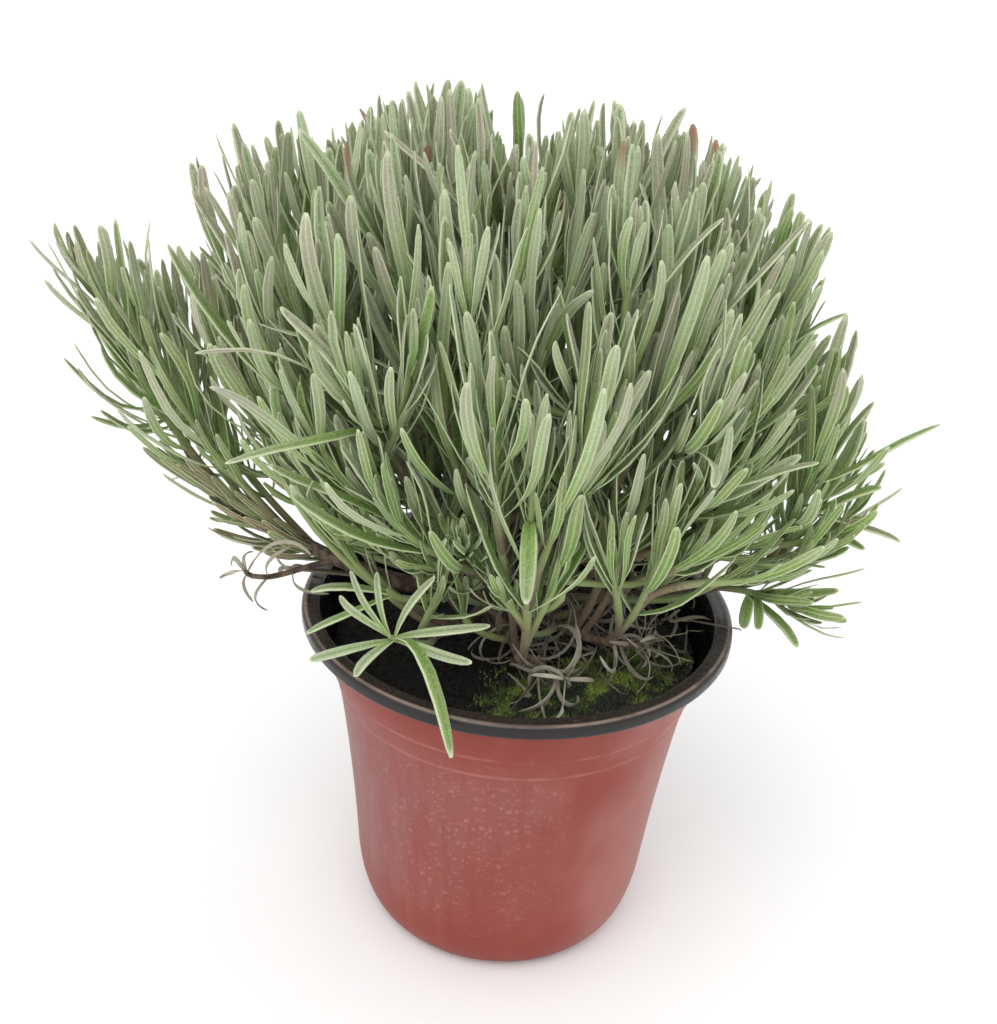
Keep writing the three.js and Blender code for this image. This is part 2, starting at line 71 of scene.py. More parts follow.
# %% [markdown]
# ## Camera, light and floor
# The camera stands in front of the pot and a little above the plant, looks down at 27 degrees, and
# leans 4 degrees to one side, as whoever holds a camera by hand does. Its place comes from the
# ellipse of the rim. The light is that of an overcast day: a white sky, brighter high in front,
# and a little light thrown back from the left. A pale floor catches a soft shadow. Lamps
# near the plant would leave the far floor dark, so both lights are suns with a wide angle.

# %% Camera
scene = bpy.context.scene
CAMERA_PLACE = Vector((-8.9, -391.2, 361.7)) * MM
CAMERA_DIP = math.radians(27.33)
CAMERA_ROLL = math.radians(4.0)
CAMERA_LENS = 45.7


def camera_axes(dip, roll):
    """The camera's right, up and back, as the columns of a turn."""
    right = Vector((1, 0, 0))
    up = Vector((0, math.sin(dip), math.cos(dip)))
    back = Vector((0, -math.cos(dip), math.sin(dip)))
    turned_right = math.cos(roll) * right + math.sin(roll) * up
    turned_up = math.cos(roll) * up - math.sin(roll) * right
    return Matrix((turned_right, turned_up, back)).transposed()


camera = bpy.data.objects.new("camera", bpy.data.cameras.new("camera"))
camera.data.lens = CAMERA_LENS
camera.data.clip_end = 20
camera.matrix_world = Matrix.Translation(CAMERA_PLACE) @ camera_axes(CAMERA_DIP, CAMERA_ROLL).to_4x4()
scene.collection.objects.link(camera)
scene.camera = camera
scene.view_settings.view_transform = "Standard"
print("camera at", [round(c, 3) for c in CAMERA_PLACE], "lens", CAMERA_LENS, "mm")

# %% Building node trees
def colour(red, green, blue):
    """A colour as a screen shows it, 0 to 255, in the linear values that a shader takes."""
    linear = []
    for c in (red, green, blue):
        linear.append(((c / 255 + 0.055) / 1.055) ** 2.4 if c > 10 else c / 255 / 12.92)
    return (*linear, 1.0)


class Nodes:
    """Adds nodes to a tree. A value for an input is a number or colour, or another node's output."""

    def __init__(self, tree):
        self.tree = tree

    def add(self, kind, inputs=None, **settings):
        node = self.tree.nodes.new(kind)
        for name, value in settings.items():
            setattr(node, name, value)
        for name, value in (inputs or {}).items():
            self.join(value, node.inputs[name])
        return node

    def join(self, value, socket):
        if isinstance(value, bpy.types.NodeSocket):
            self.tree.links.new(value, socket)
        else:
            socket.default_value = value

    def calc(self, operation, *values):
        return self.add("ShaderNodeMath", dict(enumerate(values)), operation=operation).outputs[0]


print("grey 128 on a screen is", round(colour(128, 128, 128)[0], 3), "in a shader")


# %% Light and floor
def soft_sun(name, towards, angle, strength):
    """Light from one part of the sky. The wider its angle, the softer the shadow."""
    lamp = bpy.data.objects.new(name, bpy.data.lights.new(name, "SUN"))
    lamp.data.angle = math.radians(angle)
    lamp.data.energy = strength
    lamp.rotation_euler = Vector(towards).to_track_quat("Z", "Y").to_euler()
    scene.collection.objects.link(lamp)


soft_sun("bright part of the sky", (-0.2, -0.5, 1.0), 45, 1.0)
soft_sun("pale wall at the left", (-1.0, -0.6, 0.5), 70, 0.18)

sky = bpy.data.worlds.new("white sky")
sky.use_nodes = True
sky.node_tree.nodes["Background"].inputs["Color"].default_value = (0.97, 0.985, 1.0, 1)
sky.node_tree.nodes["Background"].inputs["Strength"].default_value = 1.08
scene.world = sky


def floor_finish():
    material = bpy.data.materials.new("pale_floor")
    material.use_nodes = True
    nodes = Nodes(material.node_tree)
    place = nodes.add("ShaderNodeTexCoord").outputs["Object"]
    cloud = nodes.add("ShaderNodeTexNoise", {"Vector": place, "Scale": 3.0, "Detail": 3.0}).outputs[0]
    tone = nodes.add("ShaderNodeValToRGB", {"Fac": cloud})
    tone.color_ramp.elements[0].color = colour(236, 236, 234)
    tone.color_ramp.elements[1].color = colour(243, 243, 242)
    shader = material.node_tree.nodes["Principled BSDF"]
    nodes.join(tone.outputs[0], shader.inputs["Base Color"])
    shader.inputs["Roughness"].default_value = 0.85
    return material


FLOOR_CORNERS = [(-30, -30), (30, -30), (30, 60), (-30, 60)]
JUST_BELOW = -0.0002
floor_mesh = bpy.data.meshes.new("floor")
floor_mesh.from_pydata([(x, y, JUST_BELOW) for x, y in FLOOR_CORNERS], [], [(0, 1, 2, 3)])
floor_mesh.materials.append(floor_finish())
floor = bpy.data.objects.new("floor", floor_mesh)
scene.collection.objects.link(floor)
floor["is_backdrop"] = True
print("floor:", [round(c, 1) for c in floor.dimensions[:2]], "m")

# %% [markdown]
# ## The rule of the plant
# A lavender grows by a rule. Limbs leave a short stock. A shoot starts on a limb, leans out and
# turns up. Its leaves stand in pairs, each pair square to the one below. The CAD solids were grown
# by such a rule, so the same rule is worked here again, in millimetres, with the same random
# stream. It gives the middle line of every stem and leaf. Reading it from the solids would not:
# there the blades are fused, and their lines are lost.

# %% Curves and random numbers
STOCK = np.array([-6.0, 8.0, 120.0])
RIM_RADIUS, POT_HEIGHT, SOIL_TOP = 75.0, 126.0, 108.0
GOLDEN_ANGLE = math.pi * (3 - math.sqrt(5))


def point_on(curve, t):
    """Points at t, 0 to 1, on the curve that its control points give."""
    t = np.asarray(t, float)[..., None]
    s = 1 - t
    if len(curve) == 3:
        return s * s * curve[0] + 2 * s * t * curve[1] + t * t * curve[2]
    return s**3 * curve[0] + 3 * s * s * t * curve[1] + 3 * s * t * t * curve[2] + t**3 * curve[3]


def unit(vector):
    return vector / np.sqrt((vector * vector).sum(-1, keepdims=True))


def square_to(a, b):
    """The direction square to two single ones."""
    made = (a[1] * b[2] - a[2] * b[1], a[2] * b[0] - a[0] * b[2], a[0] * b[1] - a[1] * b[0])
    return unit(np.array(made))


def direction_on(curve, t):
    t = np.asarray(t, float)
    return unit(point_on(curve, np.minimum(t + 1e-4, 1)) - point_on(curve, np.maximum(t - 1e-4, 0)))


def seeded(seed):
    """The repeatable stream of numbers from 0 to 1 that the solids were grown with."""
    state = (seed * 2654435761) % 2**32
    while True:
        state = (state * 1664525 + 1013904223) % 2**32
        yield state / 2**32


print("first number of stream 1:", round(next(seeded(1)), 4))


# %% Limbs
def limb_to(end, rise, radius):
    """A limb from the top of the stock. rise is how much of the climb is done half-way out."""
    end = np.array(end, float)
    middle = STOCK + 0.55 * (end - STOCK)
    middle[2] = STOCK[2] + rise * (end[2] - STOCK[2])
    return {"curve": [STOCK, middle, end], "radius": radius}


limbs = []
for bearing in (33, 84, 134, 226, 270, 318):
    turn = math.radians(bearing)
    limbs.append(limb_to((-6 + 36 * math.cos(turn), 8 + 32 * math.sin(turn), 143), 0.3, 2.6))
limbs.append(limb_to((-8, 10, 160), 0.6, 3))
limbs.append(limb_to((30, -26, 127), 0.15, 2.2))
limbs.append(limb_to((2, -38, 125), 0.15, 2.2))
limbs.append(limb_to((-110, 7, 160), 0.04, 2.8))
limbs.append(limb_to((88, 4, 142), 0.08, 2.6))
limbs.append(limb_to((-32, -28, 123), 0.1, 2.2))
FRONT, LOW_FRONT, LEFT, RIGHT, LOW = 7, 8, 9, 10, 11
print("limbs:", len(limbs))

# %% [markdown]
# ## Keeping clear
# In a real bush the leaves push one another aside. Here each stem and leaf also stands as a few
# short thick lines, and a new one goes only where its lines keep clear of all that are in place.
# To test mesh against mesh would be exact, and far too slow. The gap between two lines is a short
# sum that numpy works out for thousands at once.

# %% What is already in place
CLEARANCE = 0.35


class InPlace:
    """Short thick lines of the stems and leaves so far. A new line keeps clear of the others."""

    def __init__(self):
        self.start = self.end = self.low = self.high = np.zeros((0, 3))
        self.radius = np.zeros(0)
        self.owner = np.zeros(0, int)
        self.free = np.zeros(0, bool)

    def add(self, lines):
        margin = lines["radius"][:, None]
        low = np.minimum(lines["start"], lines["end"]) - margin
        high = np.maximum(lines["start"], lines["end"]) + margin
        for field, values in {**lines, "low": low, "high": high}.items():
            setattr(self, field, np.concatenate([getattr(self, field), values]))

    def touched_by(self, lines, clearance=CLEARANCE):
        """For each new line and each one in place, whether they come too close."""
        reach = lines["radius"].max() + clearance
        low = np.minimum(lines["start"], lines["end"]).min(0) - reach
        high = np.maximum(lines["start"], lines["end"]).max(0) + reach
        near = np.flatnonzero(((self.low < high) & (self.high > low)).all(1))
        gaps = gap_between(lines["start"], lines["end"], self.start[near], self.end[near])
        touched = np.zeros((len(lines["radius"]), len(self.radius)), bool)
        touched[:, near] = gaps <= lines["radius"][:, None] + self.radius[None, near] + clearance
        return touched


def dot(p, q):
    return (p * q).sum(-1)


def gap_between(a, b, c, d):
    """The distance between each stretch a-b and each stretch c-d."""
    u, v, w = (b - a)[:, None], (d - c)[None], a[:, None] - c[None]
    uu, uv, vv, uw, vw = dot(u, u), dot(u, v), dot(v, v), dot(u, w), dot(v, w)
    spread = uu * vv - uv * uv
    s = np.where(spread > 1e-9, np.clip((uv * vw - vv * uw) / np.maximum(spread, 1e-9), 0, 1), 0)
    t = np.clip((uv * s + vw) / vv, 0, 1)
    s = np.clip((uv * t - uw) / uu, 0, 1)
    return np.linalg.norm(w + u * s[..., None] - v * t[..., None], axis=-1)


def lines_along(points, radii, owner, free):
    radii = np.asarray(radii, float)
    count = len(points) - 1
    return {
        "start": points[:-1],
        "end": points[1:],
        "radius": np.maximum(radii[:-1], radii[1:]),
        "owner": np.full(count, owner),
        "free": np.array([free and i > 0 for i in range(count)]),
    }


def off_pot(lines):
    """Whether each line is above the soil, and off the pot's wall and flange."""
    shares = np.array([0, 0.33, 0.67, 1])[None, :, None]
    points = lines["start"][:, None] * (1 - shares) + lines["end"][:, None] * shares
    reach = np.hypot(points[..., 0], points[..., 1])
    radius = lines["radius"][:, None]
    floor_height = np.where(reach < RIM_RADIUS + 1 + radius, POT_HEIGHT + 0.6 + radius, -np.inf)
    floor_height = np.where(reach < RIM_RADIUS - 12, SOIL_TOP + 3 + radius, floor_height)
    return (points[..., 2] > floor_height).all(axis=1)


def limb_thickness(limb, t):
    return limb["radius"] * (1.25 - 0.55 * t)


in_place = InPlace()
for index, limb in enumerate(limbs):
    steps = np.linspace(0, 1, 6)
    points = point_on(limb["curve"], steps)
    in_place.add(lines_along(points, limb_thickness(limb, steps), -1 - index, False))
print("lines in place:", len(in_place.radius))

# %% [markdown]
# ## Shoots
# A shoot grows towards the light, so it is its tip that has a place in the bush. The tips are
# chosen first: a ring round the flanks, two sprays at the sides, a few low ones, and a spiral like
# that of a sunflower's seeds over the dome, which fills a round area without rows. Then each stem
# looks for the shortest clear way to its tip from one of the limbs.

# %% The shoots, and where each one ends
RING_SHOOTS, DOME_SHOOTS = 11, 23
shoots = []
for i in range(RING_SHOOTS):
    turn = 2 * math.pi * (i + 0.35) / RING_SHOOTS
    tip = (-4 + 78 * math.cos(turn), 2 + 57 * math.sin(turn), 190 + 12 * math.cos(2.4 * i))
    shoots.append({"tip": tip, "habit": "leafy", "group": "ring"})

SPRAYS = [
    ("left_spray", LEFT, (-132, 10, 218), (20, 26, 18), 6),
    ("right_spray", RIGHT, (94, 4, 186), (10, 26, 22), 3),
]
for group, limb, middle, spread, count in SPRAYS:
    for i in range(count):
        out = math.sqrt((i + 0.5) / count)
        turn = i * GOLDEN_ANGLE + 1.9
        sway = (math.cos(turn), math.sin(turn), math.cos(turn + 2.2))
        tip = [m + s * out * w for m, s, w in zip(middle, spread, sway)]
        shoots.append({"tip": tip, "limb": limb, "habit": "leafy", "group": group})

LOW_SHOOTS = [
    {"tip": (-24, -44, 160), "limb": LOW, "habit": "small"},
    {"tip": (92, -10, 137), "limb": RIGHT, "habit": "small", "facing": (0.9, -0.3, -0.2)},
    {"tip": (-40, -53, 141), "limb": LOW, "habit": "star", "facing": (-0.1, -0.8, 0.6)},
    {"tip": (46, -24, 129), "limb": FRONT, "habit": "dry"},
    {"tip": (16, -50, 128), "limb": LOW_FRONT, "habit": "dry"},
    {"tip": (-94, -12, 137), "limb": LEFT, "habit": "dry"},
]
for shoot in LOW_SHOOTS:
    shoots.append({**shoot, "group": "dry_twigs" if shoot["habit"] == "dry" else "low_shoots"})

for i in range(DOME_SHOOTS):
    out = math.sqrt((i + 0.5) / DOME_SHOOTS)
    turn = i * GOLDEN_ANGLE + 0.6
    tip = (-12 + 93 * out * math.cos(turn), 4 + 62 * out * math.sin(turn), 275 - 28 * out**2.4)
    shoots.append({"tip": tip, "habit": "leafy", "group": "dome_front" if tip[1] < 4 else "dome_back"})
print("shoots:", len(shoots))

# %% The way of each stem
STEM_STEPS = np.array([0, 0.3, 0.55, 0.8, 1])
STARTS = (1, 0.92, 0.84, 0.76, 0.68, 0.6, 0.52, 0.44)
BOWS = (0, 4, -4, 8, -8, 12, -12, 18, -18, 25, -25)
STEM_AT_BASE, STEM_AT_TIP = 1.45, 1.15


def stem_radius(t):
    return STEM_AT_BASE + (STEM_AT_TIP - STEM_AT_BASE) * np.asarray(t, float)


def stem_curve(shoot, limb, at, bow):
    """A stem leaves its limb part-way along it, swings out by the bow, and ends steeper."""
    base, along = point_on(limb["curve"], at), direction_on(limb["curve"], at)
    tip = np.array(shoot["tip"], float)
    reach = tip - base
    length = np.linalg.norm(reach)
    bearing = math.atan2(reach[1], reach[0])
    aside = np.array([-math.sin(bearing), math.cos(bearing), 0])
    lean = math.atan2(math.hypot(reach[0], reach[1]), reach[2])

    def leaning(angle):
        flat = math.sin(angle)
        return np.array([math.cos(bearing) * flat, math.sin(bearing) * flat, math.cos(angle)])

    start = unit(leaning(lean) + 0.5 * along)
    facing = np.array(shoot["facing"]) if "facing" in shoot else leaning(0.45 * lean)
    first = base + 0.35 * length * start + bow * aside
    last = tip - 0.35 * length * facing + bow * aside
    return [base, first, last, tip]


def stem_ways(shoot):
    ways = []
    for index, limb in enumerate(limbs):
        if index != shoot["limb"] if "limb" in shoot else index >= LEFT:
            continue
        for at in STARTS:
            for bow in BOWS:
                curve = stem_curve(shoot, limb, at, bow)
                reach = curve[3] - curve[0]
                cost = np.linalg.norm(reach) + math.hypot(reach[0], reach[1]) + 0.8 * abs(bow)
                ways.append((cost, index, curve))
    return sorted(ways, key=lambda way: way[0])


def stem_is_clear(lines, limb_owner):
    touched = in_place.touched_by(lines)
    touched[0] &= in_place.owner != limb_owner
    return off_pot(lines)[1:].all() and not touched.any()


counts = {"shoot": 0, "dry_twig": 0}
for index, shoot in enumerate(shoots):
    kind = "dry_twig" if shoot["habit"] == "dry" else "shoot"
    counts[kind] += 1
    shoot["name"] = f"{kind}_{counts[kind]:02d}"
    for _, limb_index, curve in stem_ways(shoot):
        lines = lines_along(point_on(curve, STEM_STEPS), stem_radius(STEM_STEPS), index, False)
        if stem_is_clear(lines, -1 - limb_index):
            shoot["curve"] = curve
            in_place.add(lines)
            break
print("stems placed:", sum("curve" in shoot for shoot in shoots))

# %% [markdown]
# ## The leaves of the solids
# Each leaf is a curve from its root on the stem, over a bend, to its tip, with a direction across
# the blade. A few single leaves that stand out from the bush are placed first. The rest stand in
# pairs, and one that would cross a neighbour is turned or tilted until it is clear.

# %% Habits of shoots
LEAF_STEPS = np.array([0, 0.42, 0.93, 1])
LEAF_SHARES = np.array([0.17, 1, 0.84, 0.5])
TRIES = [(turn, tilt) for tilt in (0, -10, 12) for turn in (0, 14, -14, 28, -28, 42, -42)]
HABITS = {
    "leafy": dict(pairs=4, start=0.36, lean=44, tip_lean=14, closing=26, rise=0.5, size=1, slim=1),
    "small": dict(pairs=3, start=0.5, lean=46, tip_lean=16, closing=26, rise=0.25, size=0.7, slim=1),
    "star": dict(pairs=0, start=0.95),
    "dry": dict(pairs=3, start=0.45, lean=58, tip_lean=150, closing=10, rise=0, size=0.55, slim=0.62),
}
# How far along its stem a shoot's last pair stands, and the size of a full-grown leaf.
LAST_PAIR = 0.93
LEAF_LENGTH, LEAF_WIDTH = 48, 4.4
print("habits:", ", ".join(HABITS), "- ways to turn or tilt a leaf:", len(TRIES))


# %% A leaf as a curve
def outward_at(shoot, t, degrees):
    """Square to the stem, so many degrees round it."""
    tangent = direction_on(shoot["curve"], t)
    tip = shoot["curve"][-1]
    bearing = math.atan2(tip[1] - STOCK[1], tip[0] - STOCK[0])
    over = square_to((-math.sin(bearing), math.cos(bearing), 0), tangent)
    level = square_to(tangent, over)
    return over * math.cos(math.radians(degrees)) + level * math.sin(math.radians(degrees))


def leaf_from(shoot, t, degrees, lean, tip_lean, length, width, rise):
    """rise is how strongly the outer half turns upright, whichever way the stem leans."""
    root, axis = point_on(shoot["curve"], t), direction_on(shoot["curve"], t)
    outward = outward_at(shoot, t, degrees)

    def heading(angle):
        return axis * math.cos(math.radians(angle)) + outward * math.sin(math.radians(angle))

    bend = root + heading(lean) * length / 2
    tip = bend + unit(heading(tip_lean) + (0, 0, rise)) * length / 2
    return {"curve": [root, bend, tip], "side": square_to(axis, outward), "width": width}


def leaf_lines(leaf, owner, slim=1.0):
    points = point_on(leaf["curve"], LEAF_STEPS)
    return lines_along(points, slim * LEAF_SHARES * leaf["width"] / 2, owner, True)


def leaf_is_clear(lines, clearance=CLEARANCE):
    touched = in_place.touched_by(lines, clearance)
    own = in_place.owner[None, :] == lines["owner"][:, None]
    both_free = in_place.free[None, :] & lines["free"][:, None]
    return off_pot(lines).all() and not (touched & ~(own & ~both_free)).any()


# %% Single leaves that stand out
def leaf_to(tip, root, raised, arch, width):
    """A leaf to a given tip. Its middle is raised off the straight line by the arch."""
    tip = np.array(tip, float)
    bend = (root + tip) / 2 + arch * np.array(raised)
    return {"curve": [root, bend, tip], "side": square_to(raised, tip - root), "width": width}


ROSETTE = [
    ((-64, -58, 134), 3.7),
    ((-14, -61, 138), 3.8),
    ((-49, -62, 132), 4.6),
    ((-27, -50, 162), 3.8),
    ((-9, -54, 148), 3.8),
    ((-57, -47, 150), 3),
    ((-45, -42, 157), 3),
    ((-53, -41, 156), 2.8),
]
star = next(index for index, shoot in enumerate(shoots) if shoot["habit"] == "star")
leaves = []
for i, (tip, width) in enumerate(ROSETTE):
    root, axis = (get(shoots[star]["curve"], 0.9 + 0.014 * i) for get in (point_on, direction_on))
    leaf = leaf_to(tip, root, axis, 5, width)
    in_place.add(leaf_lines(leaf, star))
    leaves.append({**leaf, "shoot": star, "kind": "rosette"})

ACCENTS = [
    ((-38, -50, 134), (-18, -80, 118), 25, 4.6),
    ((-4, -50, 186), (-2, -66, 163), 15, 5.4),
    ((96, 2, 186), (128, 0, 206), -6, 4.2),
    ((96, 2, 170), (127, -4, 165), 4, 4.4),
    ((-128, 6, 186), (-153, -4, 204), -12, 3.4),
    ((-26, -44, 205), (-62, -52, 222), 6, 4.2),
]


def grow_accent(near, tip, arch, width):
    """A leaf to a given tip, from the nearest place on a stem from which its way is clear."""
    places = [
        (index, point_on(shoot["curve"], t))
        for index, shoot in enumerate(shoots)
        if shoot["habit"] != "dry"
        for t in (0.4, 0.5, 0.6, 0.7, 0.8, 0.9)
    ]
    for index, root in sorted(places, key=lambda place: np.linalg.norm(place[1] - near)):
        leaf = leaf_to(tip, root, (0, 0, 1), arch, width)
        lines = leaf_lines(leaf, index)
        if leaf_is_clear(lines):
            in_place.add(lines)
            return {**leaf, "shoot": index, "kind": "accent"}


leaves += [grow_accent(*accent) for accent in ACCENTS]
print("single leaves:", len(leaves))


# %% Leaves in pairs
def grow_pairs(index, shoot):
    """The leaves that the solid of this shoot has."""
    random = seeded(index + 1)
    habit = HABITS[shoot["habit"]]

    def spread(amount):
        return amount * (2 * next(random) - 1)

    shoot["first_turn"] = 90 * next(random)
    grown = []
    for pair in range(habit["pairs"]):
        share = pair / (habit["pairs"] - 1)
        t = habit["start"] + (LAST_PAIR - habit["start"]) * share
        for half in range(2):
            size = habit["size"] * (1 - 0.36 * share**3) * (1 + spread(0.12))
            turn = shoot["first_turn"] + 90 * pair + 180 * half + spread(12)
            lean = habit["lean"] - habit["closing"] * share + spread(8)
            tip_lean = habit["tip_lean"] - 0.3 * habit["closing"] * share + spread(10)
            width = habit["slim"] * LEAF_WIDTH * (0.75 + 0.25 * size) * (1 + spread(0.12))
            for aside, tilt in TRIES:
                leans, length = (lean + tilt, tip_lean + 0.5 * tilt), LEAF_LENGTH * size
                leaf = leaf_from(shoot, t, turn + aside, *leans, length, width, habit["rise"])
                lines = leaf_lines(leaf, index)
                if leaf_is_clear(lines):
                    in_place.add(lines)
                    grown.append({**leaf, "shoot": index, "kind": shoot["habit"]})
                    break
    return grown


for index, shoot in enumerate(shoots):
    leaves += grow_pairs(index, shoot)
print("leaves of the solids:", len(leaves))

# %% [markdown]
# ## Do they fit
# The rule has been worked right only if its leaves lie where the solids have theirs. So the tip of
# each stem and leaf is held against the box of its solid, and the worst one is printed. The mesh
# of a solid could be compared point by point, but a wrong number shows in the box at once.

# %% How well they fit the solids
def fit_error(index, shoot):
    """How far the tips of a shoot and its leaves are outside the box of its solid, in mm."""
    low, high = (np.array(corner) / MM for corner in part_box(shoot["name"]))
    points = np.array([leaf["curve"][2] for leaf in leaves if leaf["shoot"] == index])
    points = np.vstack([points, shoot["curve"][3]])
    return max((low - points).max(), (points - high).max())


errors = [fit_error(index, shoot) for index, shoot in enumerate(shoots)]
print("worst place outside its solid's box:", round(max(errors), 3), "mm")

# %% [markdown]
# ## Side shoots
# The solids have 46 leafy shoots, and the plant three or four times as many. The others are side
# shoots: each leaves the stem of a larger one and ends where the dome or its flank still has a gap.
# To scatter them at random would leave holes, so their tips stand in rings and a spiral, and a
# place near another tip is passed over. What the eye takes in first is the outline of the bush,
# with the gap under the left limb and the peaks of the dome. So the outline is written down once,
# as the camera sees it, and all that is added must end inside it. Leaves could be trimmed to a hull
# instead, but one view gives no hull, and a cut leaf looks cut.

# %% The outline of the bush
# Across and up on the upright plane through the middle of the pot, as seen from the camera: round
# the left limb, over the dome, down the right side and along the lower edge, back to the rim.
OUTLINE = np.array([
    (-71, 133), (-96, 140), (-107, 147), (-113, 155), (-127, 171), (-136, 187), (-140, 198),
    (-144, 209), (-150, 224), (-158, 244), (-149, 251), (-138, 239), (-122, 240), (-110, 248),
    (-106, 257), (-110, 270), (-94, 284), (-78, 284), (-66, 278), (-60, 289), (-52, 291),
    (-33, 300), (-23, 299), (-15, 281), (-2, 285), (11, 297), (19, 297), (26, 289), (31, 283),
    (37, 296), (49, 288), (62, 278), (69, 270), (84, 265), (83, 255), (93, 236), (100, 232),
    (106, 209), (110, 199), (119, 182), (120, 174), (115, 159), (107, 145), (87, 137), (75, 138),
    (73, 151), (66, 151), (64, 143), (22, 143), (14, 133), (1, 123), (-31, 121), (-35, 133),
    (-59, 142), (-76, 156), (-82, 166), (-88, 173), (-95, 169), (-98, 161), (-93, 154),
    (-82, 151), (-75, 143),
])
EDGE_X, EDGE_Z = OUTLINE.T.astype(float)
NEXT_X, NEXT_Z = np.roll(OUTLINE, -1, axis=0).T.astype(float)
EDGE_SLOPE = (NEXT_X - EDGE_X) / np.where(NEXT_Z == EDGE_Z, 1, NEXT_Z - EDGE_Z)
EYE = np.array(CAMERA_PLACE) / MM


def in_outline(*places):
    """Whether the camera sees all places within the outline: an odd count of edges beside each."""
    places = np.array(places)
    seen = EYE + (places - EYE) * EYE[1] / (EYE[1] - places[:, 1:2])
    seen_x, seen_z = seen[:, :1], seen[:, 2:]
    passed = (EDGE_Z > seen_z) != (NEXT_Z > seen_z)
    edge = EDGE_X + EDGE_SLOPE * (seen_z - EDGE_Z)
    return ((passed & (seen_x < edge)).sum(1) % 2 == 1).all()


def leaf_in_outline(leaf):
    """Its tip and its middle, so that no leaf crosses a gap that the photo shows."""
    root, bend, tip = (np.array(place) for place in leaf["curve"])
    return in_outline(tip, 0.25 * root + 0.5 * bend + 0.25 * tip)


print("outline:", len(OUTLINE), "corners; the tips of the solids' leaves that are within it:",
      sum(bool(in_outline(leaf["curve"][2])) for leaf in leaves), "of", len(leaves))


# %% Where side shoots end
side_habit = dict(pairs=4, start=0.3, lean=34, tip_lean=10, closing=20, rise=0.7, size=1)
HABITS["side"] = side_habit
HABITS["base"] = {**side_habit, "start": 0.2, "lean": 42, "tip_lean": 14, "size": 0.62}
HABITS["tiny"] = {**side_habit, "start": 0.25, "lean": 44, "tip_lean": 20, "rise": 0.6, "size": 0.42}
tip_random = np.random.default_rng(5)
# Height, half width, half depth, how many, and how near another tip may be.
FLANKS = [(172, 72, 57, 21, 14), (196, 80, 61, 23, 14), (220, 84, 62, 25, 14)]
BASES = [(137, 40, 40, 13, 12), (150, 56, 50, 17, 12), (170, 28, 26, 8, 11), (190, 50, 40, 13, 12)]
# Tips between the dome and the left spray.
BETWEEN = [
    (-92, -14, 206), (-97, 20, 212), (-84, 32, 200), (-104, -2, 224), (-86, 6, 188), (-99, 8, 200),
    (-80, -14, 176), (-86, 12, 178), (-76, 24, 180), (-72, -6, 184), (-92, 0, 184), (-70, 10, 170),
]
# Tips of upright shoots over the right limb.
UPRIGHT = [
    (50, -20, 172), (62, -22, 180), (74, -18, 170), (86, -14, 176), (96, -8, 184), (104, -2, 196),
    (66, -10, 190), (80, -6, 196), (92, 2, 202), (56, -6, 184), (70, 6, 182), (84, 12, 186),
    (98, 10, 176), (60, 14, 176), (76, 20, 190), (90, 22, 198), (48, -30, 160), (104, 4, 172),
    (92, -14, 160), (78, -22, 156), (44, 0, 176), (70, 26, 164), (84, 24, 166), (58, 28, 160),
    (96, 18, 164), (72, 10, 158), (88, 8, 160),
]
# More tips on the left limb's spray, and at the end of the right limb.
OUTER = [
    (-151, -4, 236), (-147, 6, 226), (-143, -6, 214), (-137, 6, 204), (-131, -6, 194), (-150, 5, 240),
    (-140, 10, 238), (-128, -8, 232), (-122, 6, 222), (-116, -8, 214), (110, 0, 170), (106, -8, 163),
    (102, 6, 158), (114, -4, 158), (98, -6, 150), (106, 8, 180), (112, 4, 164),
]
# Tips of tiny shoots low at the front.
TINY = [
    (-50, -34, 171), (-42, -40, 164), (-35, -44, 173), (-27, -48, 160), (-19, -46, 170), (-8, -48, 160),
    (2, -48, 168), (13, -48, 158), (25, -44, 168), (36, -40, 158), (-32, -48, 152), (48, -34, 168),
]
print("tips placed by hand:", sum(len(tips) for tips in (BETWEEN, UPRIGHT, OUTER, TINY)))


# %% Tips in a spiral and in rings
DOME_TIPS = 96


def ring_tips(rows, habit):
    for height, half_width, half_depth, count, apart in rows:
        for i in range(count):
            turn = 2 * math.pi * (i + 0.5 * (height % 3)) / count
            wander = tip_random.normal(0, 1, 3) * (3, 3, 5)
            x, y = -6 + half_width * math.cos(turn), 3 + half_depth * math.sin(turn)
            yield np.array([x, y, height]) + wander, apart, habit


def side_tips():
    """Tips for side shoots: the dome's first, then its flanks', its foot's and the outer limbs'."""
    for i in range(DOME_TIPS):
        out, turn = math.sqrt((i + 0.5) / DOME_TIPS), i * GOLDEN_ANGLE + 2.1
        wander = tip_random.normal(0, 1, 3) * (2.5, 2.5, 5)
        x, y = -12 + 90 * out * math.cos(turn), 4 + 60 * out * math.sin(turn)
        yield np.array([x, y, 262 - 30 * out**2.4]) + wander, 13, "side"
    yield from ring_tips(FLANKS, "side")
    yield from ((np.array(place), 8, "side") for place in BETWEEN)
    yield from ring_tips(BASES, "base")
    yield from ((np.array(place), 5, "base") for place in UPRIGHT + OUTER)
    yield from ((np.array(place), 5, "tiny") for place in TINY)
    for limb, places in ((LEFT, np.linspace(0.56, 1, 9)), (RIGHT, np.linspace(0.6, 1, 8))):
        for i, t in enumerate(places):
            place = point_on(limbs[limb]["curve"], t)
            outward, aside, up = 12 * np.sign(place[0]), (12, -12, 0)[i % 3], (15, 15, 22)[i % 3]
            yield place + (outward, aside, up), 8, "base"


# %% Growing the side shoots
def side_stem(tip, curve, t):
    """From a line, first along it, then up to the tip."""
    base, along = point_on(curve, t), direction_on(curve, t)
    reach = tip - base
    length = np.linalg.norm(reach)
    start = unit(unit(reach) + 0.6 * along)
    end = unit(unit(reach) + (0, 0, 1.2))
    return [base, base + 0.35 * length * start, tip - 0.35 * length * end, tip]


WAYS_TRIED = 40


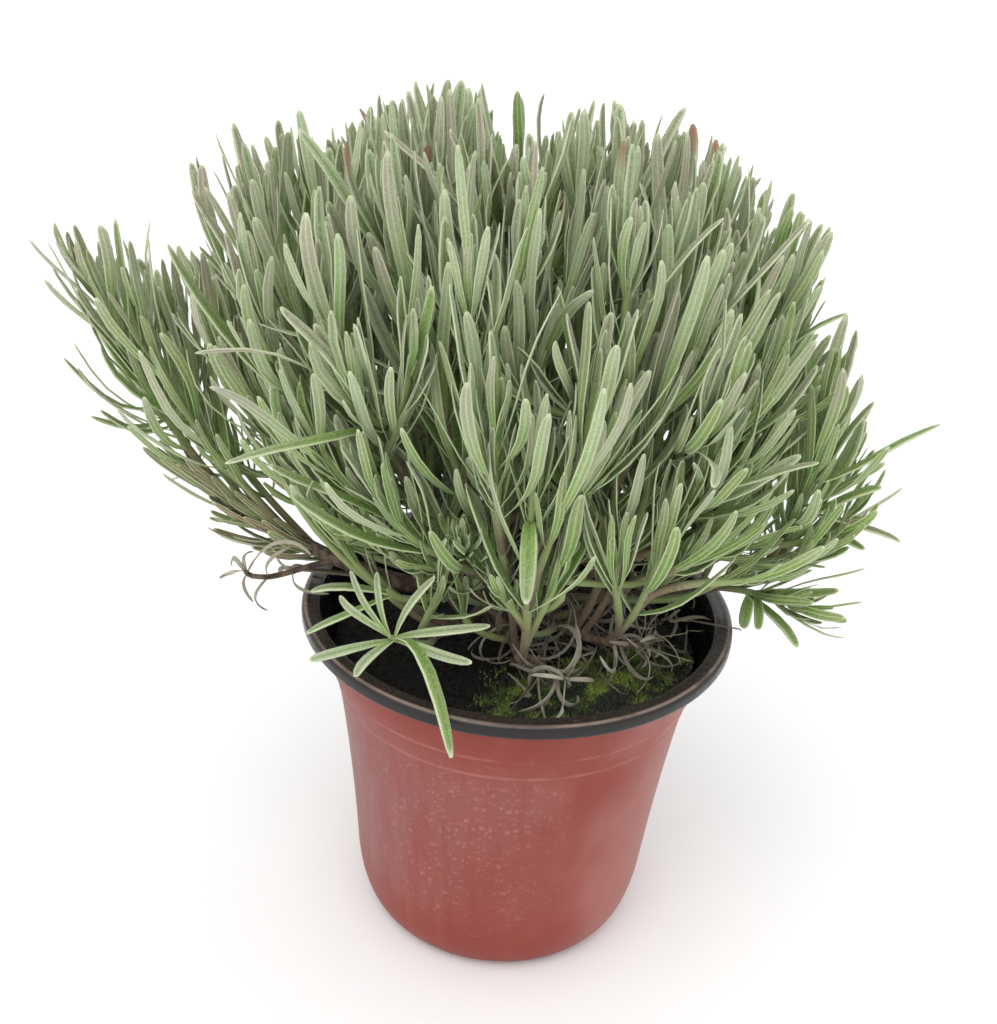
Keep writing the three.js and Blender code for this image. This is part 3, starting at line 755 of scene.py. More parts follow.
def grow_side_shoot(tip, habit, parents):
    """Takes the cheapest clear way from a stem or limb. Long ways and level ones cost more."""
    lowest = 22 if habit == "side" else 5
    ways = []
    for parent, curve, places in parents:
        for t in places:
            way = side_stem(tip, curve, t)
            reach = tip - way[0]
            if reach[2] > lowest:
                cost = np.linalg.norm(reach) + 1.6 * math.hypot(reach[0], reach[1])
                ways.append((cost, parent, way))
    for _, parent, way in sorted(ways, key=lambda way: way[0])[:WAYS_TRIED]:
        thickness = 0.6 * stem_radius(STEM_STEPS)
        lines = lines_along(point_on(way, STEM_STEPS), thickness, len(shoots), False)
        if stem_is_clear(lines, parent):
            in_place.add(lines)
            group = "foot" if habit != "side" or parent < 0 else shoots[parent]["group"]
            made = {"tip": tip, "habit": habit, "group": group, "curve": way}
            shoots.append({**made, "first_turn": 90 * tip_random.random()})
            return


BUSHY = ("ring", "dome_front", "dome_back")
ON_STEMS = (0.12, 0.25, 0.38, 0.5, 0.62)
ON_LIMBS = (0.4, 0.5, 0.6, 0.7, 0.8, 0.9, 1)
stem_parents = [(i, s["curve"], ON_STEMS) for i, s in enumerate(shoots) if s["group"] in BUSHY]
limb_parents = [(-1 - i, limb["curve"], ON_LIMBS) for i, limb in enumerate(limbs)]
for tip, apart, habit in side_tips():
    others = np.array([shoot["tip"] for shoot in shoots])
    if np.linalg.norm(others - tip, axis=1).min() > apart and in_outline(tip + (0, 0, 10)):
        grow_side_shoot(tip, habit, limb_parents + stem_parents)
habits = [shoot["habit"] for shoot in shoots]
print("side shoots:", {habit: habits.count(habit) for habit in ("side", "base", "tiny")})

# %% [markdown]
# ## The leaves between
# Each stem has far more leaves than its solid. Between two pairs there is another pair, low on the
# stem there are short ones, small leaves fill the angle over a large one, and the stem ends in a
# tight bundle of young leaves. They follow the same rule of turning and tilting until they are
# clear, with slimmer lines that let neighbours lie close. Their outer half turns towards the sky,
# except for a few old ones that arch over.

# %% Growing the leaves between
EASY_TRIES = [(turn, tilt) for tilt in (0, -9, -20) for turn in (0, 18, -18, 36)]
SLIM = {"tuft": 0.4, "young": 0.4, "pair": 0.55, "low": 0.5}
LONGEST = 50
HIGHEST = 299.0
# How far an extra leaf strays from the rule: turn, lean, lean of the tip, length, width and place.
STRAYING = (9, 8, 11, 0.14, 0.12, 0.008)


def extra_plans(shoot, random):
    """Where more leaves of a shoot go: place on the stem, turn, leans, length, width and kind."""
    habit = HABITS[shoot["habit"]]
    first, start, size = shoot["first_turn"], habit["start"], habit["size"]
    loose = 1.75 if shoot["habit"] in ("base", "tiny", "small") else 1
    stretch = (LAST_PAIR - start) / (habit["pairs"] - 1)
    plans = []

    def pair_at(t, turn, lean, tip_lean, long, slim, kind):
        for half in (0, 180):
            wander = random.normal(0, 1, 6) * STRAYING * loose
            arches = kind in ("pair", "low") and random.random() < 0.14
            plan = dict(t=min(max(t + wander[5], 0.02), 1), degrees=turn + half + wander[0])
            plan.update(lean=lean + wander[1], tip_lean=tip_lean + wander[2] + 38 * arches)
            plan.update(rise=0.1 if arches else habit["rise"] + 0.45)
            low_share = np.interp(point_on(shoot["curve"], plan["t"])[2], [130, 190], [0.66, 1])
            length = LONGEST * long * size * low_share
            width = LEAF_WIDTH * slim * (size * low_share) ** 0.5
            plan.update(length=length * (1 + wander[3]), width=width * (1 + wander[4]))
            plans.append((kind, plan))

    for pair in range(habit["pairs"]):
        share = pair / (habit["pairs"] - 1)
        t, turn = start + stretch * pair, first + 90 * pair
        lean, tip_lean = habit["lean"] - habit["closing"] * share, habit["tip_lean"] - 8 * share
        if "name" not in shoot:
            pair_at(t, turn, lean, tip_lean, 1.02 - 0.34 * share**3, 0.98, "pair")
        if pair < habit["pairs"] - 1:
            pair_at(t + 0.5 * stretch, turn + 45, lean - 4, tip_lean, 1.02 - 0.2 * share, 0.92, "pair")
        pair_at(t + 0.03, turn + 12, lean - 17, tip_lean - 6, 0.55, 0.66, "tuft")
        pair_at(t + 0.05, turn + 74, lean - 12, tip_lean - 4, 0.7, 0.74, "tuft")
    if shoot["habit"] in ("leafy", "side"):
        for i, long in enumerate((0.82, 0.66, 0.56)):
            turn = first + 45 + 90 * i
            pair_at(start - 0.09 * (i + 1), turn, 50 + 4 * i, 20 + 6 * i, long, 0.84, "low")
    for i, long in enumerate((0.56, 0.5, 0.42, 0.34, 0.25)):
        turn, slim = first + 45 + 90 * i, 0.76 - 0.06 * i
        pair_at(0.95 + 0.0125 * i, turn, 17 - 3.4 * i, 9 - 1.5 * i, long, slim, "young")
    return plans


def grow_extra(index, shoot):
    random = np.random.default_rng(1000 + index)
    grown = []
    for kind, plan in extra_plans(shoot, random):
        for aside, tilt in EASY_TRIES:
            tried = {**plan, "degrees": plan["degrees"] + aside, "lean": plan["lean"] + tilt}
            leaf = leaf_from(shoot, **tried)
            outside = shoot["habit"] != "small" and not leaf_in_outline(leaf)
            if outside or leaf["curve"][2][2] > HIGHEST:
                continue
            lines = leaf_lines(leaf, index, SLIM[kind])
            if leaf_is_clear(lines, 0.0):
                in_place.add(lines)
                grown.append({**leaf, "shoot": index, "kind": kind})
                break
    return grown


# %% [markdown]
# ## Leaves that catch the eye
# A rule makes a bush of the right kind, but not this one. This bush is known by a few leaves: those
# that stick out at its edge, and those at the front. They are listed one by one, each from a near
# stem to a given tip, before the rest fills in around them. To try other random numbers until such
# leaves turn up would take for ever.

# %% Leaves that catch the eye
# Near which place each starts, where its tip is, how far its middle is raised, and its width.
SEEN = [
    ((69, -14, 215), (90, -18, 242), 3, 4.6),
    ((104, 2, 188), (96, -2, 236), -9, 5.2),
    ((22, -50, 184), (36, -57, 238), -6, 3.2),
    ((30, -50, 206), (38, -56, 234), 3, 5.6),
    ((-50, -30, 143), (-67, -34, 144), 5, 4.6),
    ((-52, -36, 141), (-68, -42, 133), 2, 4),
    ((-50, -34, 172), (-73, -36, 196), -8, 4.6),
    ((-40, -48, 172), (-54, -50, 190), 3, 3.8),
    ((-34, -46, 165), (-54, -48, 172), 4, 3.8),
    ((15, -48, 170), (15, -60, 197), -3, 5),
    ((-76, -38, 212), (-87, -42, 247), -4, 4),
    ((-124, 0, 170), (-141, -6, 188), -8, 4),
    ((86, -8, 143), (95, -22, 129), 4, 4.2),
    ((78, -8, 141), (80, -22, 134), 3, 3.4),
    ((78, -4, 141), (79, -6, 124), 3, 4.4),
    ((-120, 0, 172), (-143, -2, 188), -8, 4.6),
    ((-130, 0, 198), (-146, 0, 226), -4, 4.2),
    ((-126, -4, 190), (-141, -4, 214), -5, 4.4),
    ((-136, 2, 208), (-157, 0, 243), -4, 4),
    ((-134, 0, 210), (-151, 0, 242), -2, 4),
    ((-104, 0, 205), (-105, -2, 246), 4, 4.4),
    ((-106, -4, 200), (-111, -4, 236), 3, 4.4),
    ((-96, 0, 230), (-101, -2, 273), 3, 4.6),
    ((98, 0, 162), (117, -2, 179), 5, 4.6),
    ((98, 0, 164), (112, -4, 181), 4, 4.4),
    ((94, 4, 156), (112, 0, 168), 3, 4.6),
    ((92, 0, 150), (115, -4, 157), 4, 4.4),
    ((96, 0, 155), (126, -4, 165), 6, 4.4),
    ((92, 0, 192), (95, -2, 233), -6, 5),
    ((94, 2, 186), (102, 0, 213), -4, 4.6),
    ((76, 0, 228), (76, 0, 268), 2, 4.4),
]
# Where the outline has its peaks, across and up. A leaf stands upright at each.
PEAKS = [
    (-94, 283), (-80, 279), (-66, 277), (-52, 290), (-34, 298), (-29, 299), (-23, 298), (-25, 297),
    (11, 296), (19, 296), (37, 295), (42, 291), (49, 287), (62, 277), (84, 264), (93, 235),
    (-122, 239), (-138, 238),
]
SEEN += [((x, y, z - 44), (x, y, z), 2, 4.2) for (x, z), y in zip(PEAKS, (-3, 4, 0) * 6)]
seen = [grow_accent(*accent) for accent in SEEN]
leaves += [leaf for leaf in seen if leaf]
print("leaves that catch the eye:", sum(leaf is not None for leaf in seen), "of", len(SEEN))

# %% [markdown]
# ## Old leaves
# Last year's leaves clothe the two long limbs at the sides. They point along the limb, and they are
# browner the nearer they are to the pot. Side shoots would stand off the limb and look young, so
# these leaves grow straight from the limb, five round it at each place.

# %% Old leaves along the limbs at the sides
def sleeve_of(limb, places, lean, rise, longest):
    """Leaves that cling to a limb and point along it, browner the nearer they are to the pot.

    They come out from between the stems along the limb, so only their outer part must be clear.
    """
    random = np.random.default_rng(41)
    stem, owner = {"curve": limbs[limb]["curve"]}, -1 - limb
    for t in places:
        for k in range(5):
            near = min(t + random.normal(0, 0.01), 1)
            plan = dict(t=near, degrees=72 * k + 400 * t + random.normal(0, 12))
            plan.update(lean=random.uniform(*lean), tip_lean=random.uniform(-4, 20))
            plan.update(rise=random.uniform(*rise), length=random.uniform(0.5, 1) * longest)
            leaf = leaf_from(stem, width=random.uniform(2.6, 4.2), **plan)
            lines = {name: values[1:] for name, values in leaf_lines(leaf, owner, 0.4).items()}
            if leaf_in_outline(leaf) and leaf_is_clear(lines, 0.0):
                in_place.add(lines)
                age = np.clip(1.5 - 1.3 * t + random.normal(0, 0.3), 0, 1)
                leaves.append({**leaf, "shoot": -1, "kind": "old", "group": "foot", "age": age})


sleeve_of(LEFT, np.arange(0.4, 1, 0.022), (14, 44), (0, 0.7), 42)
sleeve_of(LEFT, np.arange(0.42, 0.9, 0.02), (45, 80), (-0.5, 0.1), 26)
sleeve_of(RIGHT, np.arange(0.55, 1, 0.03), (14, 44), (0, 0.7), 42)
print("old leaves:", sum(leaf["kind"] == "old" for leaf in leaves))

# %% All the leaves between
for index, shoot in enumerate(shoots):
    if shoot["habit"] not in ("dry", "star"):
        leaves += grow_extra(index, shoot)
kinds = [leaf["kind"] for leaf in leaves]
print("leaves:", len(leaves), {kind: kinds.count(kind) for kind in sorted(set(kinds))})

# %% [markdown]
# ## Sweeping blades along their lines
# A lavender leaf is a narrow strap with a blunt tip. A groove runs along its upper face, a rib
# stands out under it, and both edges are rolled back. One leaf could be modelled and bent a
# thousand times, but a sweep does it in one go: the section is drawn once, and the tree carries it
# along every line, wider or narrower as the line says, and turned so that it lies across the leaf.

# %% Trees of geometry nodes
SOCKETS = {float: "NodeSocketFloat", int: "NodeSocketInt", bpy.types.Material: "NodeSocketMaterial"}


def new_tree(name, sizes):
    """An empty tree with a named input for each size, and one for the material."""
    tree = bpy.data.node_groups.new(name, "GeometryNodeTree")
    tree.interface.new_socket("Geometry", in_out="INPUT", socket_type="NodeSocketGeometry")
    for label, value in sizes.items():
        socket = tree.interface.new_socket(label, in_out="INPUT", socket_type=SOCKETS[type(value)])
        socket.default_value = value
    tree.interface.new_socket("Material", in_out="INPUT", socket_type="NodeSocketMaterial")
    tree.interface.new_socket("Geometry", in_out="OUTPUT", socket_type="NodeSocketGeometry")
    nodes = Nodes(tree)
    return nodes, nodes.add("NodeGroupInput").outputs


def finish_tree(nodes, geometry, material, smooth=True):
    """Every tree ends alike: shading, real geometry in place of instances, and the material."""
    inputs = {"Geometry": geometry, "Shade Smooth": smooth}
    shaded = nodes.add("GeometryNodeSetShadeSmooth", inputs).outputs[0]
    real = nodes.add("GeometryNodeRealizeInstances", {"Geometry": shaded}).outputs[0]
    painted = nodes.add("GeometryNodeSetMaterial", {"Geometry": real, "Material": material}).outputs[0]
    nodes.add("NodeGroupOutput", {"Geometry": painted})
    return nodes.tree


def made_by(tree, base, name, **sizes):
    """What the tree makes of a base mesh, as a plain mesh. The base and its modifier are removed."""
    holder = bpy.data.objects.new(name + "_base", base)
    scene.collection.objects.link(holder)
    modifier = holder.modifiers.new("tree", "NODES")
    modifier.node_group = tree
    for socket in tree.interface.items_tree:
        key = socket.name.lower().replace(" ", "_")
        if socket.in_out == "INPUT" and key in sizes:
            modifier[socket.identifier] = sizes[key]
    evaluated = holder.evaluated_get(bpy.context.evaluated_depsgraph_get())
    mesh = bpy.data.meshes.new_from_object(evaluated)
    bpy.data.objects.remove(holder)
    mesh.name = name
    piece = bpy.data.objects.new(name, mesh)
    scene.collection.objects.link(piece)
    return piece


def named(nodes, name, kind="FLOAT"):
    return nodes.add("GeometryNodeInputNamedAttribute", {"Name": name}, data_type=kind).outputs["Attribute"]


def triangles(piece):
    return sum(len(face.vertices) - 2 for face in piece.data.polygons)


# %% The tree for blades
def sweep(nodes, geometry, section):
    """Carries a section along every line of the base mesh."""
    lines = nodes.add("GeometryNodeMeshToCurve", {0: geometry}).outputs[0]
    across = named(nodes, "across_way", "FLOAT_VECTOR")
    inputs = {"Curve": lines, "Normal": across}
    turned = nodes.add("GeometryNodeSetCurveNormal", inputs, mode="FREE").outputs[0]
    inputs = {"Curve": turned, "Profile Curve": section}
    inputs.update({"Scale": named(nodes, "half_width"), "Fill Caps": True})
    return nodes.add("GeometryNodeCurveToMesh", inputs).outputs[0]


def ring(nodes, corners):
    """A circle of radius 1, to be shaped into a section, and the places of its corners."""
    inputs = {"Resolution": corners, "Radius": 1.0}
    circle = nodes.add("GeometryNodeCurvePrimitiveCircle", inputs).outputs[0]
    return circle, nodes.add("GeometryNodeInputPosition").outputs[0]


def stored(nodes, geometry, name, value):
    inputs = {"Geometry": geometry, "Name": name, "Value": value}
    return nodes.add("GeometryNodeStoreNamedAttribute", inputs, data_type="FLOAT").outputs[0]


def blade_tree():
    sizes = {"Thickness": 0.24, "Fullness": 0.34, "Groove": 0.42, "Roll": 0.16}
    nodes, given = new_tree("leaf blades", sizes)
    circle, place = ring(nodes, 8)
    x, y, _ = nodes.add("ShaderNodeSeparateXYZ", {0: place}).outputs
    upper = nodes.calc("GREATER_THAN", y, 0.01)
    inner = nodes.calc("POWER", nodes.calc("SUBTRACT", 1.0, nodes.calc("ABSOLUTE", x)), 2.0)
    dip = nodes.calc("MULTIPLY", inner, given["Groove"])
    top = nodes.calc("SUBTRACT", nodes.calc("MULTIPLY", y, given["Fullness"]), dip)
    rib = nodes.calc("MULTIPLY", nodes.calc("POWER", nodes.calc("ABSOLUTE", y), 4.0), given["Thickness"])
    lower = nodes.calc("SUBTRACT", 1.0, upper)
    height = nodes.calc("SUBTRACT", nodes.calc("MULTIPLY", upper, top), nodes.calc("MULTIPLY", lower, rib))
    roll = nodes.calc("MULTIPLY", nodes.calc("MULTIPLY", x, x), given["Roll"])
    flat = nodes.add("ShaderNodeCombineXYZ", {0: x, 1: nodes.calc("SUBTRACT", height, roll)}).outputs[0]
    both = stored(nodes, stored(nodes, circle, "across", x), "under", lower)
    section = nodes.add("GeometryNodeSetPosition", {"Geometry": both, "Position": flat}).outputs[0]
    return finish_tree(nodes, sweep(nodes, given["Geometry"], section), given["Material"])


def stem_tree():
    nodes, given = new_tree("square stems", {"Hollow": 0.8})
    circle, place = ring(nodes, 8)
    odd = nodes.calc("MODULO", nodes.add("GeometryNodeInputIndex").outputs[0], 2.0)
    hollow = nodes.calc("MULTIPLY", nodes.calc("SUBTRACT", 1.0, odd), given["Hollow"])
    part = nodes.calc("ADD", odd, hollow)
    inner = nodes.add("ShaderNodeVectorMath", {0: place, 3: part}, operation="SCALE").outputs[0]
    section = nodes.add("GeometryNodeSetPosition", {"Geometry": circle, "Position": inner}).outputs[0]
    return finish_tree(nodes, sweep(nodes, given["Geometry"], section), given["Material"])


BLADES, STEMS = blade_tree(), stem_tree()
print("trees:", BLADES.name, len(BLADES.nodes), "nodes,", STEMS.name, len(STEMS.nodes), "nodes")


# %% Lines as a mesh that a tree can read
def line_mesh(name, lines, across, half_width, **facts):
    """Lines as edges, in metres. lines is (count, steps, 3), and a fact has one number a point."""
    count, steps = lines.shape[:2]
    mesh = bpy.data.meshes.new(name)
    start = np.arange(count * steps).reshape(count, steps)[:, :-1]
    edges = np.stack([start, start + 1], -1).reshape(-1, 2)
    mesh.from_pydata((lines.reshape(-1, 3) * MM).tolist(), edges.tolist(), [])
    mesh.attributes.new("across_way", "FLOAT_VECTOR", "POINT").data.foreach_set("vector", across.ravel())
    facts["half_width"] = half_width * MM
    for fact, values in facts.items():
        values = np.broadcast_to(values, (count, steps)).astype(np.float32).ravel()
        mesh.attributes.new(fact, "FLOAT", "POINT").data.foreach_set("value", values)
    return mesh


# %% [markdown]
# ## Leaf finish
# The leaves are covered in short pale hairs, which is why they look grey-green and never shine.
# Towards the tip many turn greyer, with a touch of mauve, and where they leave the stem they are
# green. The rib and the rolled edges are paler. The groove along the upper face is darker, as
# painted shade, and leaves low in the bush and at its far sides are darker and greener, partly as
# their own colour and partly as painted shade. Real hairs would cost millions of curves, so the
# felt is a sheen on a rough surface, with a fine grain in its colour and bump.

# %% Helpers for finishes
def new_finish(name, roughness=0.6):
    material = bpy.data.materials.new(name)
    material.use_nodes = True
    shader = material.node_tree.nodes["Principled BSDF"]
    shader.inputs["Roughness"].default_value = roughness
    return material, Nodes(material.node_tree), shader


def fact(nodes, name):
    return nodes.add("ShaderNodeAttribute", attribute_name=name).outputs["Fac"]


def blend(nodes, factor, first, second, kind="MIX"):
    inputs = {0: factor, 6: first, 7: second}
    return nodes.add("ShaderNodeMix", inputs, data_type="RGBA", blend_type=kind).outputs[2]


def span(nodes, value, low, high, to_low=0.0, to_high=1.0):
    inputs = {0: value, 1: low, 2: high, 3: to_low, 4: to_high}
    return nodes.add("ShaderNodeMapRange", inputs, interpolation_type="SMOOTHSTEP").outputs[0]


def noise(nodes, place, scale, detail=2.0, stretch=None, rough=0.5):
    if stretch is not None:
        place = nodes.add("ShaderNodeMapping", {"Vector": place, "Scale": stretch}).outputs[0]
    inputs = {"Vector": place, "Scale": scale, "Detail": detail, "Roughness": rough}
    return nodes.add("ShaderNodeTexNoise", inputs).outputs[0]


def bump(nodes, shader, height, strength, distance):
    made = nodes.add("ShaderNodeBump", {"Height": height, "Strength": strength, "Distance": distance})
    nodes.join(made.outputs[0], shader.inputs["Normal"])


def here(nodes):
    return nodes.add("ShaderNodeTexCoord").outputs["Object"]


def finished(material):
    print("finish:", material.name, "with", len(material.node_tree.nodes), "nodes")
    return material


# %% Leaf finish
def leaf_finish():
    material, nodes, shader = new_finish("felted_leaf", 0.75)
    place = here(nodes)
    tint, along, across, under = (fact(nodes, name) for name in ("tint", "along", "across", "under"))
    patch = noise(nodes, place, 45.0, 3.0)
    lengthwise = nodes.add("ShaderNodeCombineXYZ", {0: nodes.calc("MULTIPLY", across, 5.0), 1: along, 2: tint})
    fibre = noise(nodes, lengthwise.outputs[0], 2.2, 3.0)
    grey_share = nodes.calc("ADD", nodes.calc("MULTIPLY", along, 0.6), nodes.calc("MULTIPLY", tint, 0.8))
    grey_share = span(nodes, nodes.calc("ADD", grey_share, nodes.calc("MULTIPLY", patch, 0.3)), 0.25, 1.35)
    body = blend(nodes, span(nodes, grey_share, 0.0, 0.4), colour(100, 140, 34), colour(126, 156, 68))
    body = blend(nodes, span(nodes, grey_share, 0.3, 1.0), body, colour(171, 184, 148))
    body = blend(nodes, span(nodes, fibre, 0.35, 0.65, 0.35, 0.0), body, colour(102, 122, 66))
    mauve_share = nodes.calc("MULTIPLY", fact(nodes, "blush"), span(nodes, along, 0.3, 0.9))
    body = blend(nodes, mauve_share, body, colour(164, 148, 138))
    body = blend(nodes, fact(nodes, "age"), body, colour(128, 108, 82))
    off_middle = nodes.calc("ABSOLUTE", across)
    edge = nodes.calc("MAXIMUM", span(nodes, off_middle, 0.66, 0.86), span(nodes, along, 0.95, 1.0))
    rib = nodes.calc("MULTIPLY", under, span(nodes, off_middle, 0.24, 0.06))
    # Painted shade: the groove along the upper face is darker.
    groove_shade = nodes.calc("SUBTRACT", 1.0, span(nodes, off_middle, 0.06, 0.4))
    groove_shade = nodes.calc("MULTIPLY", nodes.calc("SUBTRACT", 1.0, under), groove_shade)
    body = blend(nodes, nodes.calc("MULTIPLY", groove_shade, 0.6), body, colour(88, 108, 58))
    body = blend(nodes, nodes.calc("MULTIPLY", edge, 0.68), body, colour(220, 228, 188))
    body = blend(nodes, nodes.calc("MULTIPLY", rib, 0.45), body, colour(202, 214, 168))
    felt = noise(nodes, place, 2200.0, 3.0, rough=0.7)
    body = blend(nodes, span(nodes, felt, 0.45, 0.7, 0.0, 0.34), body, colour(222, 228, 196))
    body = blend(nodes, span(nodes, felt, 0.5, 0.3, 0.0, 0.22), body, colour(92, 112, 58))
    scorch = nodes.calc("MULTIPLY", fact(nodes, "scorch"), span(nodes, along, 0.74, 0.97))
    body = blend(nodes, nodes.calc("MULTIPLY", scorch, 0.75), body, colour(158, 106, 84))
    nodes.join(body, shader.inputs["Base Color"])
    shader.inputs["Sheen Weight"].default_value = 0.16
    shader.inputs["Sheen Roughness"].default_value = 0.5
    shader.inputs["Specular IOR Level"].default_value = 0.2
    bump(nodes, shader, nodes.calc("ADD", felt, noise(nodes, place, 500.0, 2.0)), 0.35, 0.0003)
    return material


LEAF_FINISH = finished(leaf_finish())

# %% [markdown]
# ## Leaves
# A leaf's line is sampled closer towards its tip, where the blade rounds off. Each leaf gets a
# slight twist and a wander of its own, because no two real ones are alike. The short young leaves
# are thousands, so they have fewer steps than the long ones and are pieces of their own.

# %% Lines of the leaves
LONG_STEPS = np.array([0, 0.08, 0.22, 0.4, 0.58, 0.76, 0.89, 0.965, 1])
SHORT_STEPS = np.array([0, 0.2, 0.46, 0.72, 0.92, 1])
# How wide the blade is at each of the long steps, as a share of its full width.
BLADE_SHARES = [0.3, 0.46, 0.7, 0.9, 1, 0.97, 0.84, 0.6, 0.26]
BLADE_WIDTH = 0.88
BROAD = {"rosette": 1.02, "accent": 1.14}
# A leaf that would reach beyond the measured size of the plant is made shorter.
low, high = np.array(box_after_load) / MM
LOWEST_CORNER, HIGHEST_CORNER = 1.015 * low - 0.015 * high, 1.015 * high - 0.015 * low
print("leaves keep between", LOWEST_CORNER.round(1), "and", HIGHEST_CORNER.round(1))


def blade_lines(some, steps, random):
    """Points, ways across and half widths of leaves."""
    one_each = (len(some), 1)
    curves = np.array([leaf["curve"] for leaf in some])
    u = steps[None, :, None]
    root, bend, tip = (curves[:, None, i] for i in range(3))
    lines = root * (1 - u) ** 2 + 2 * bend * u * (1 - u) + tip * u**2
    side = np.repeat(np.array([leaf["side"] for leaf in some])[:, None], len(steps), axis=1)
    length = np.linalg.norm(curves[:, 2] - curves[:, 0], axis=1)[:, None]
    phase = random.uniform(0, 2 * math.pi, (len(some), 2))
    curl = random.normal(0, 0.035, one_each) * steps**2
    sway = length * (0.022 * np.sin(steps * 5 + phase[:, :1]) * steps + curl)
    curl = random.normal(0, 0.05, one_each) * steps**2
    lift = length * (0.024 * np.sin(steps * 6 + phase[:, 1:]) * steps + curl)
    along = unit(np.gradient(lines, axis=1))
    face = np.cross(along, side)
    reach = lines + side * sway[..., None] + face * lift[..., None] - root
    room = np.where(reach > 0, HIGHEST_CORNER, LOWEST_CORNER) - root
    lines = root + reach / np.maximum((reach / room).max((1, 2)), 1)[:, None, None]
    loose = np.array([[7 if leaf["kind"] in BROAD else 26] for leaf in some])
    twist = np.radians(random.normal(0, 1, one_each) * loose) * (steps - 0.1)
    along = unit(np.gradient(lines, axis=1))
    side = unit(side - along * (side * along).sum(-1, keepdims=True))
    side = side * np.cos(twist)[..., None] + np.cross(along, side) * np.sin(twist)[..., None]
    width = np.array([leaf["width"] * BROAD.get(leaf["kind"], 1) for leaf in some])
    width = width[:, None] * BLADE_WIDTH
    return lines, side, width / 2 * np.interp(steps, LONG_STEPS, BLADE_SHARES)


# %% Pieces of leaves
def group_of(leaf):
    return leaf["group"] if "group" in leaf else shoots[leaf["shoot"]]["group"]


def leaf_piece(name, group, kinds, steps):
    """Leaves as one piece, and the solids that it stands for. Facts steer the finish of each leaf."""
    some = [leaf for leaf in leaves if group_of(leaf) == group and leaf["kind"] in kinds]
    random = np.random.default_rng(77)
    lines, side, half = blade_lines(some, steps, random)
    tips = np.array([leaf["curve"][2] for leaf in some])
    # Leaves low in the bush, and at its far left and right, get a lower tint, which the finish turns darker
    # and greener. Low in the bush that is partly the plant's own colour and partly painted shade; at the far
    # sides it is painted shade.
    high = np.clip((tips[:, 2:] - 170) / 110, 0, 1)
    outer_left, outer_right = tips[:, :1] < -88, np.clip((tips[:, :1] - 40) / 60, 0, 1)
    painted_side_shade = -0.1 * outer_left - 0.22 * outer_right
    tint = np.clip(0.16 + 0.52 * high + painted_side_shade + random.normal(0, 0.26, high.shape), 0, 1)
    frosted = np.array([leaf["kind"] == "rosette" for leaf in some])[:, None]
    tint = np.where(frosted, 0.75, tint)
    scorch = (random.random(high.shape) > 0.97) * (high > 0.95)
    age = np.array([[leaf["age"] if "age" in leaf else 0] for leaf in some])
    age = np.maximum(age, (random.random(high.shape) > 0.93) * (high < 0.1) * 0.8)
    mauve = np.clip(random.random(high.shape) * 1.5 - 0.6, 0, 1)
    blush = mauve * (0.3 + 0.7 * high) + 0.25 * outer_left
    facts = dict(along=steps, tint=tint, blush=blush, scorch=scorch, age=age)
    base = line_mesh(name, lines, side, half, **facts)
    piece = made_by(BLADES, base, name, material=LEAF_FINISH)
    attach(piece, "root")
    print(name, len(some), "leaves,", triangles(piece), "triangles")
    return piece, [shoot["name"] for shoot in shoots if shoot["group"] == group and "name" in shoot]


YOUNG = ("tuft", "young")
GROWN = ("leafy", "small", "pair", "low", "old", "accent", "rosette")
for group in ("dome_front", "dome_back", "ring", "foot", "left_spray", "right_spray", "low_shoots"):
    piece, solids = leaf_piece("leaves_of_the_" + group, group, GROWN, LONG_STEPS)
    if solids:
        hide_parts(*solids)
    leaf_piece("young_leaves_of_the_" + group, group, YOUNG, SHORT_STEPS)

# %% [markdown]
# ## Stems
# The young stems are square, a little hollow on each side, and thicker where a pair of leaves
# leaves them. They are green at the top and turn brown and woody towards the limb.

# %% Stem finish
def stem_finish():
    material, nodes, shader = new_finish("square_stem", 0.7)
    place = here(nodes)
    along = fact(nodes, "along")
    patch = noise(nodes, place, 120.0, 3.0)
    age = span(nodes, nodes.calc("ADD", along, nodes.calc("MULTIPLY", patch, 0.3)), 0.2, 0.6)
    body = blend(nodes, age, colour(118, 98, 76), colour(138, 156, 92))
    fibre = noise(nodes, place, 300.0, 3.0, (5, 5, 0.5))
    body = blend(nodes, span(nodes, fibre, 0.45, 0.7, 0.0, 0.4), body, colour(168, 152, 132))
    nodes.join(body, shader.inputs["Base Color"])
    shader.inputs["Sheen Weight"].default_value = 0.15
    bump(nodes, shader, fibre, 0.4, 0.0003)
    return material


STEM_FINISH = finished(stem_finish())


# %% Stems as squares along their lines
def stem_piece():
    steps = np.linspace(0, 1, 15)
    leafy = [shoot for shoot in shoots if shoot["habit"] != "dry"]
    lines = np.array([point_on(shoot["curve"], steps) for shoot in leafy])
    across = np.array([[outward_at(shoot, t, shoot["first_turn"]) for t in steps] for shoot in leafy])
    half = np.repeat(stem_radius(steps)[None], len(leafy), axis=0)
    for row, shoot in zip(half, leafy):
        habit = HABITS[shoot["habit"]]
        joints = np.linspace(habit["start"], LAST_PAIR, habit["pairs"])
        row *= 1 + 0.16 * np.exp(-(((steps[:, None] - joints[None]) / 0.03) ** 2)).sum(1)
    half[:, -1] *= 0.5
    base = line_mesh("stems", lines, across, half, along=steps)
    piece = made_by(STEMS, base, "stems", material=STEM_FINISH)
    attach(piece, "root")
    print("stems:", len(leafy), "with", triangles(piece), "triangles")


stem_piece()

# %% [markdown]
# ## Old wood
# Under the leaves the plant is a small bush of brown wood. The limbs are tubes that run into one
# another at the stock, so they are swept one by one and then remeshed into a single skin, which
# melts the joints. Bark is rough and split lengthwise, and that is in the mesh and in the bump.

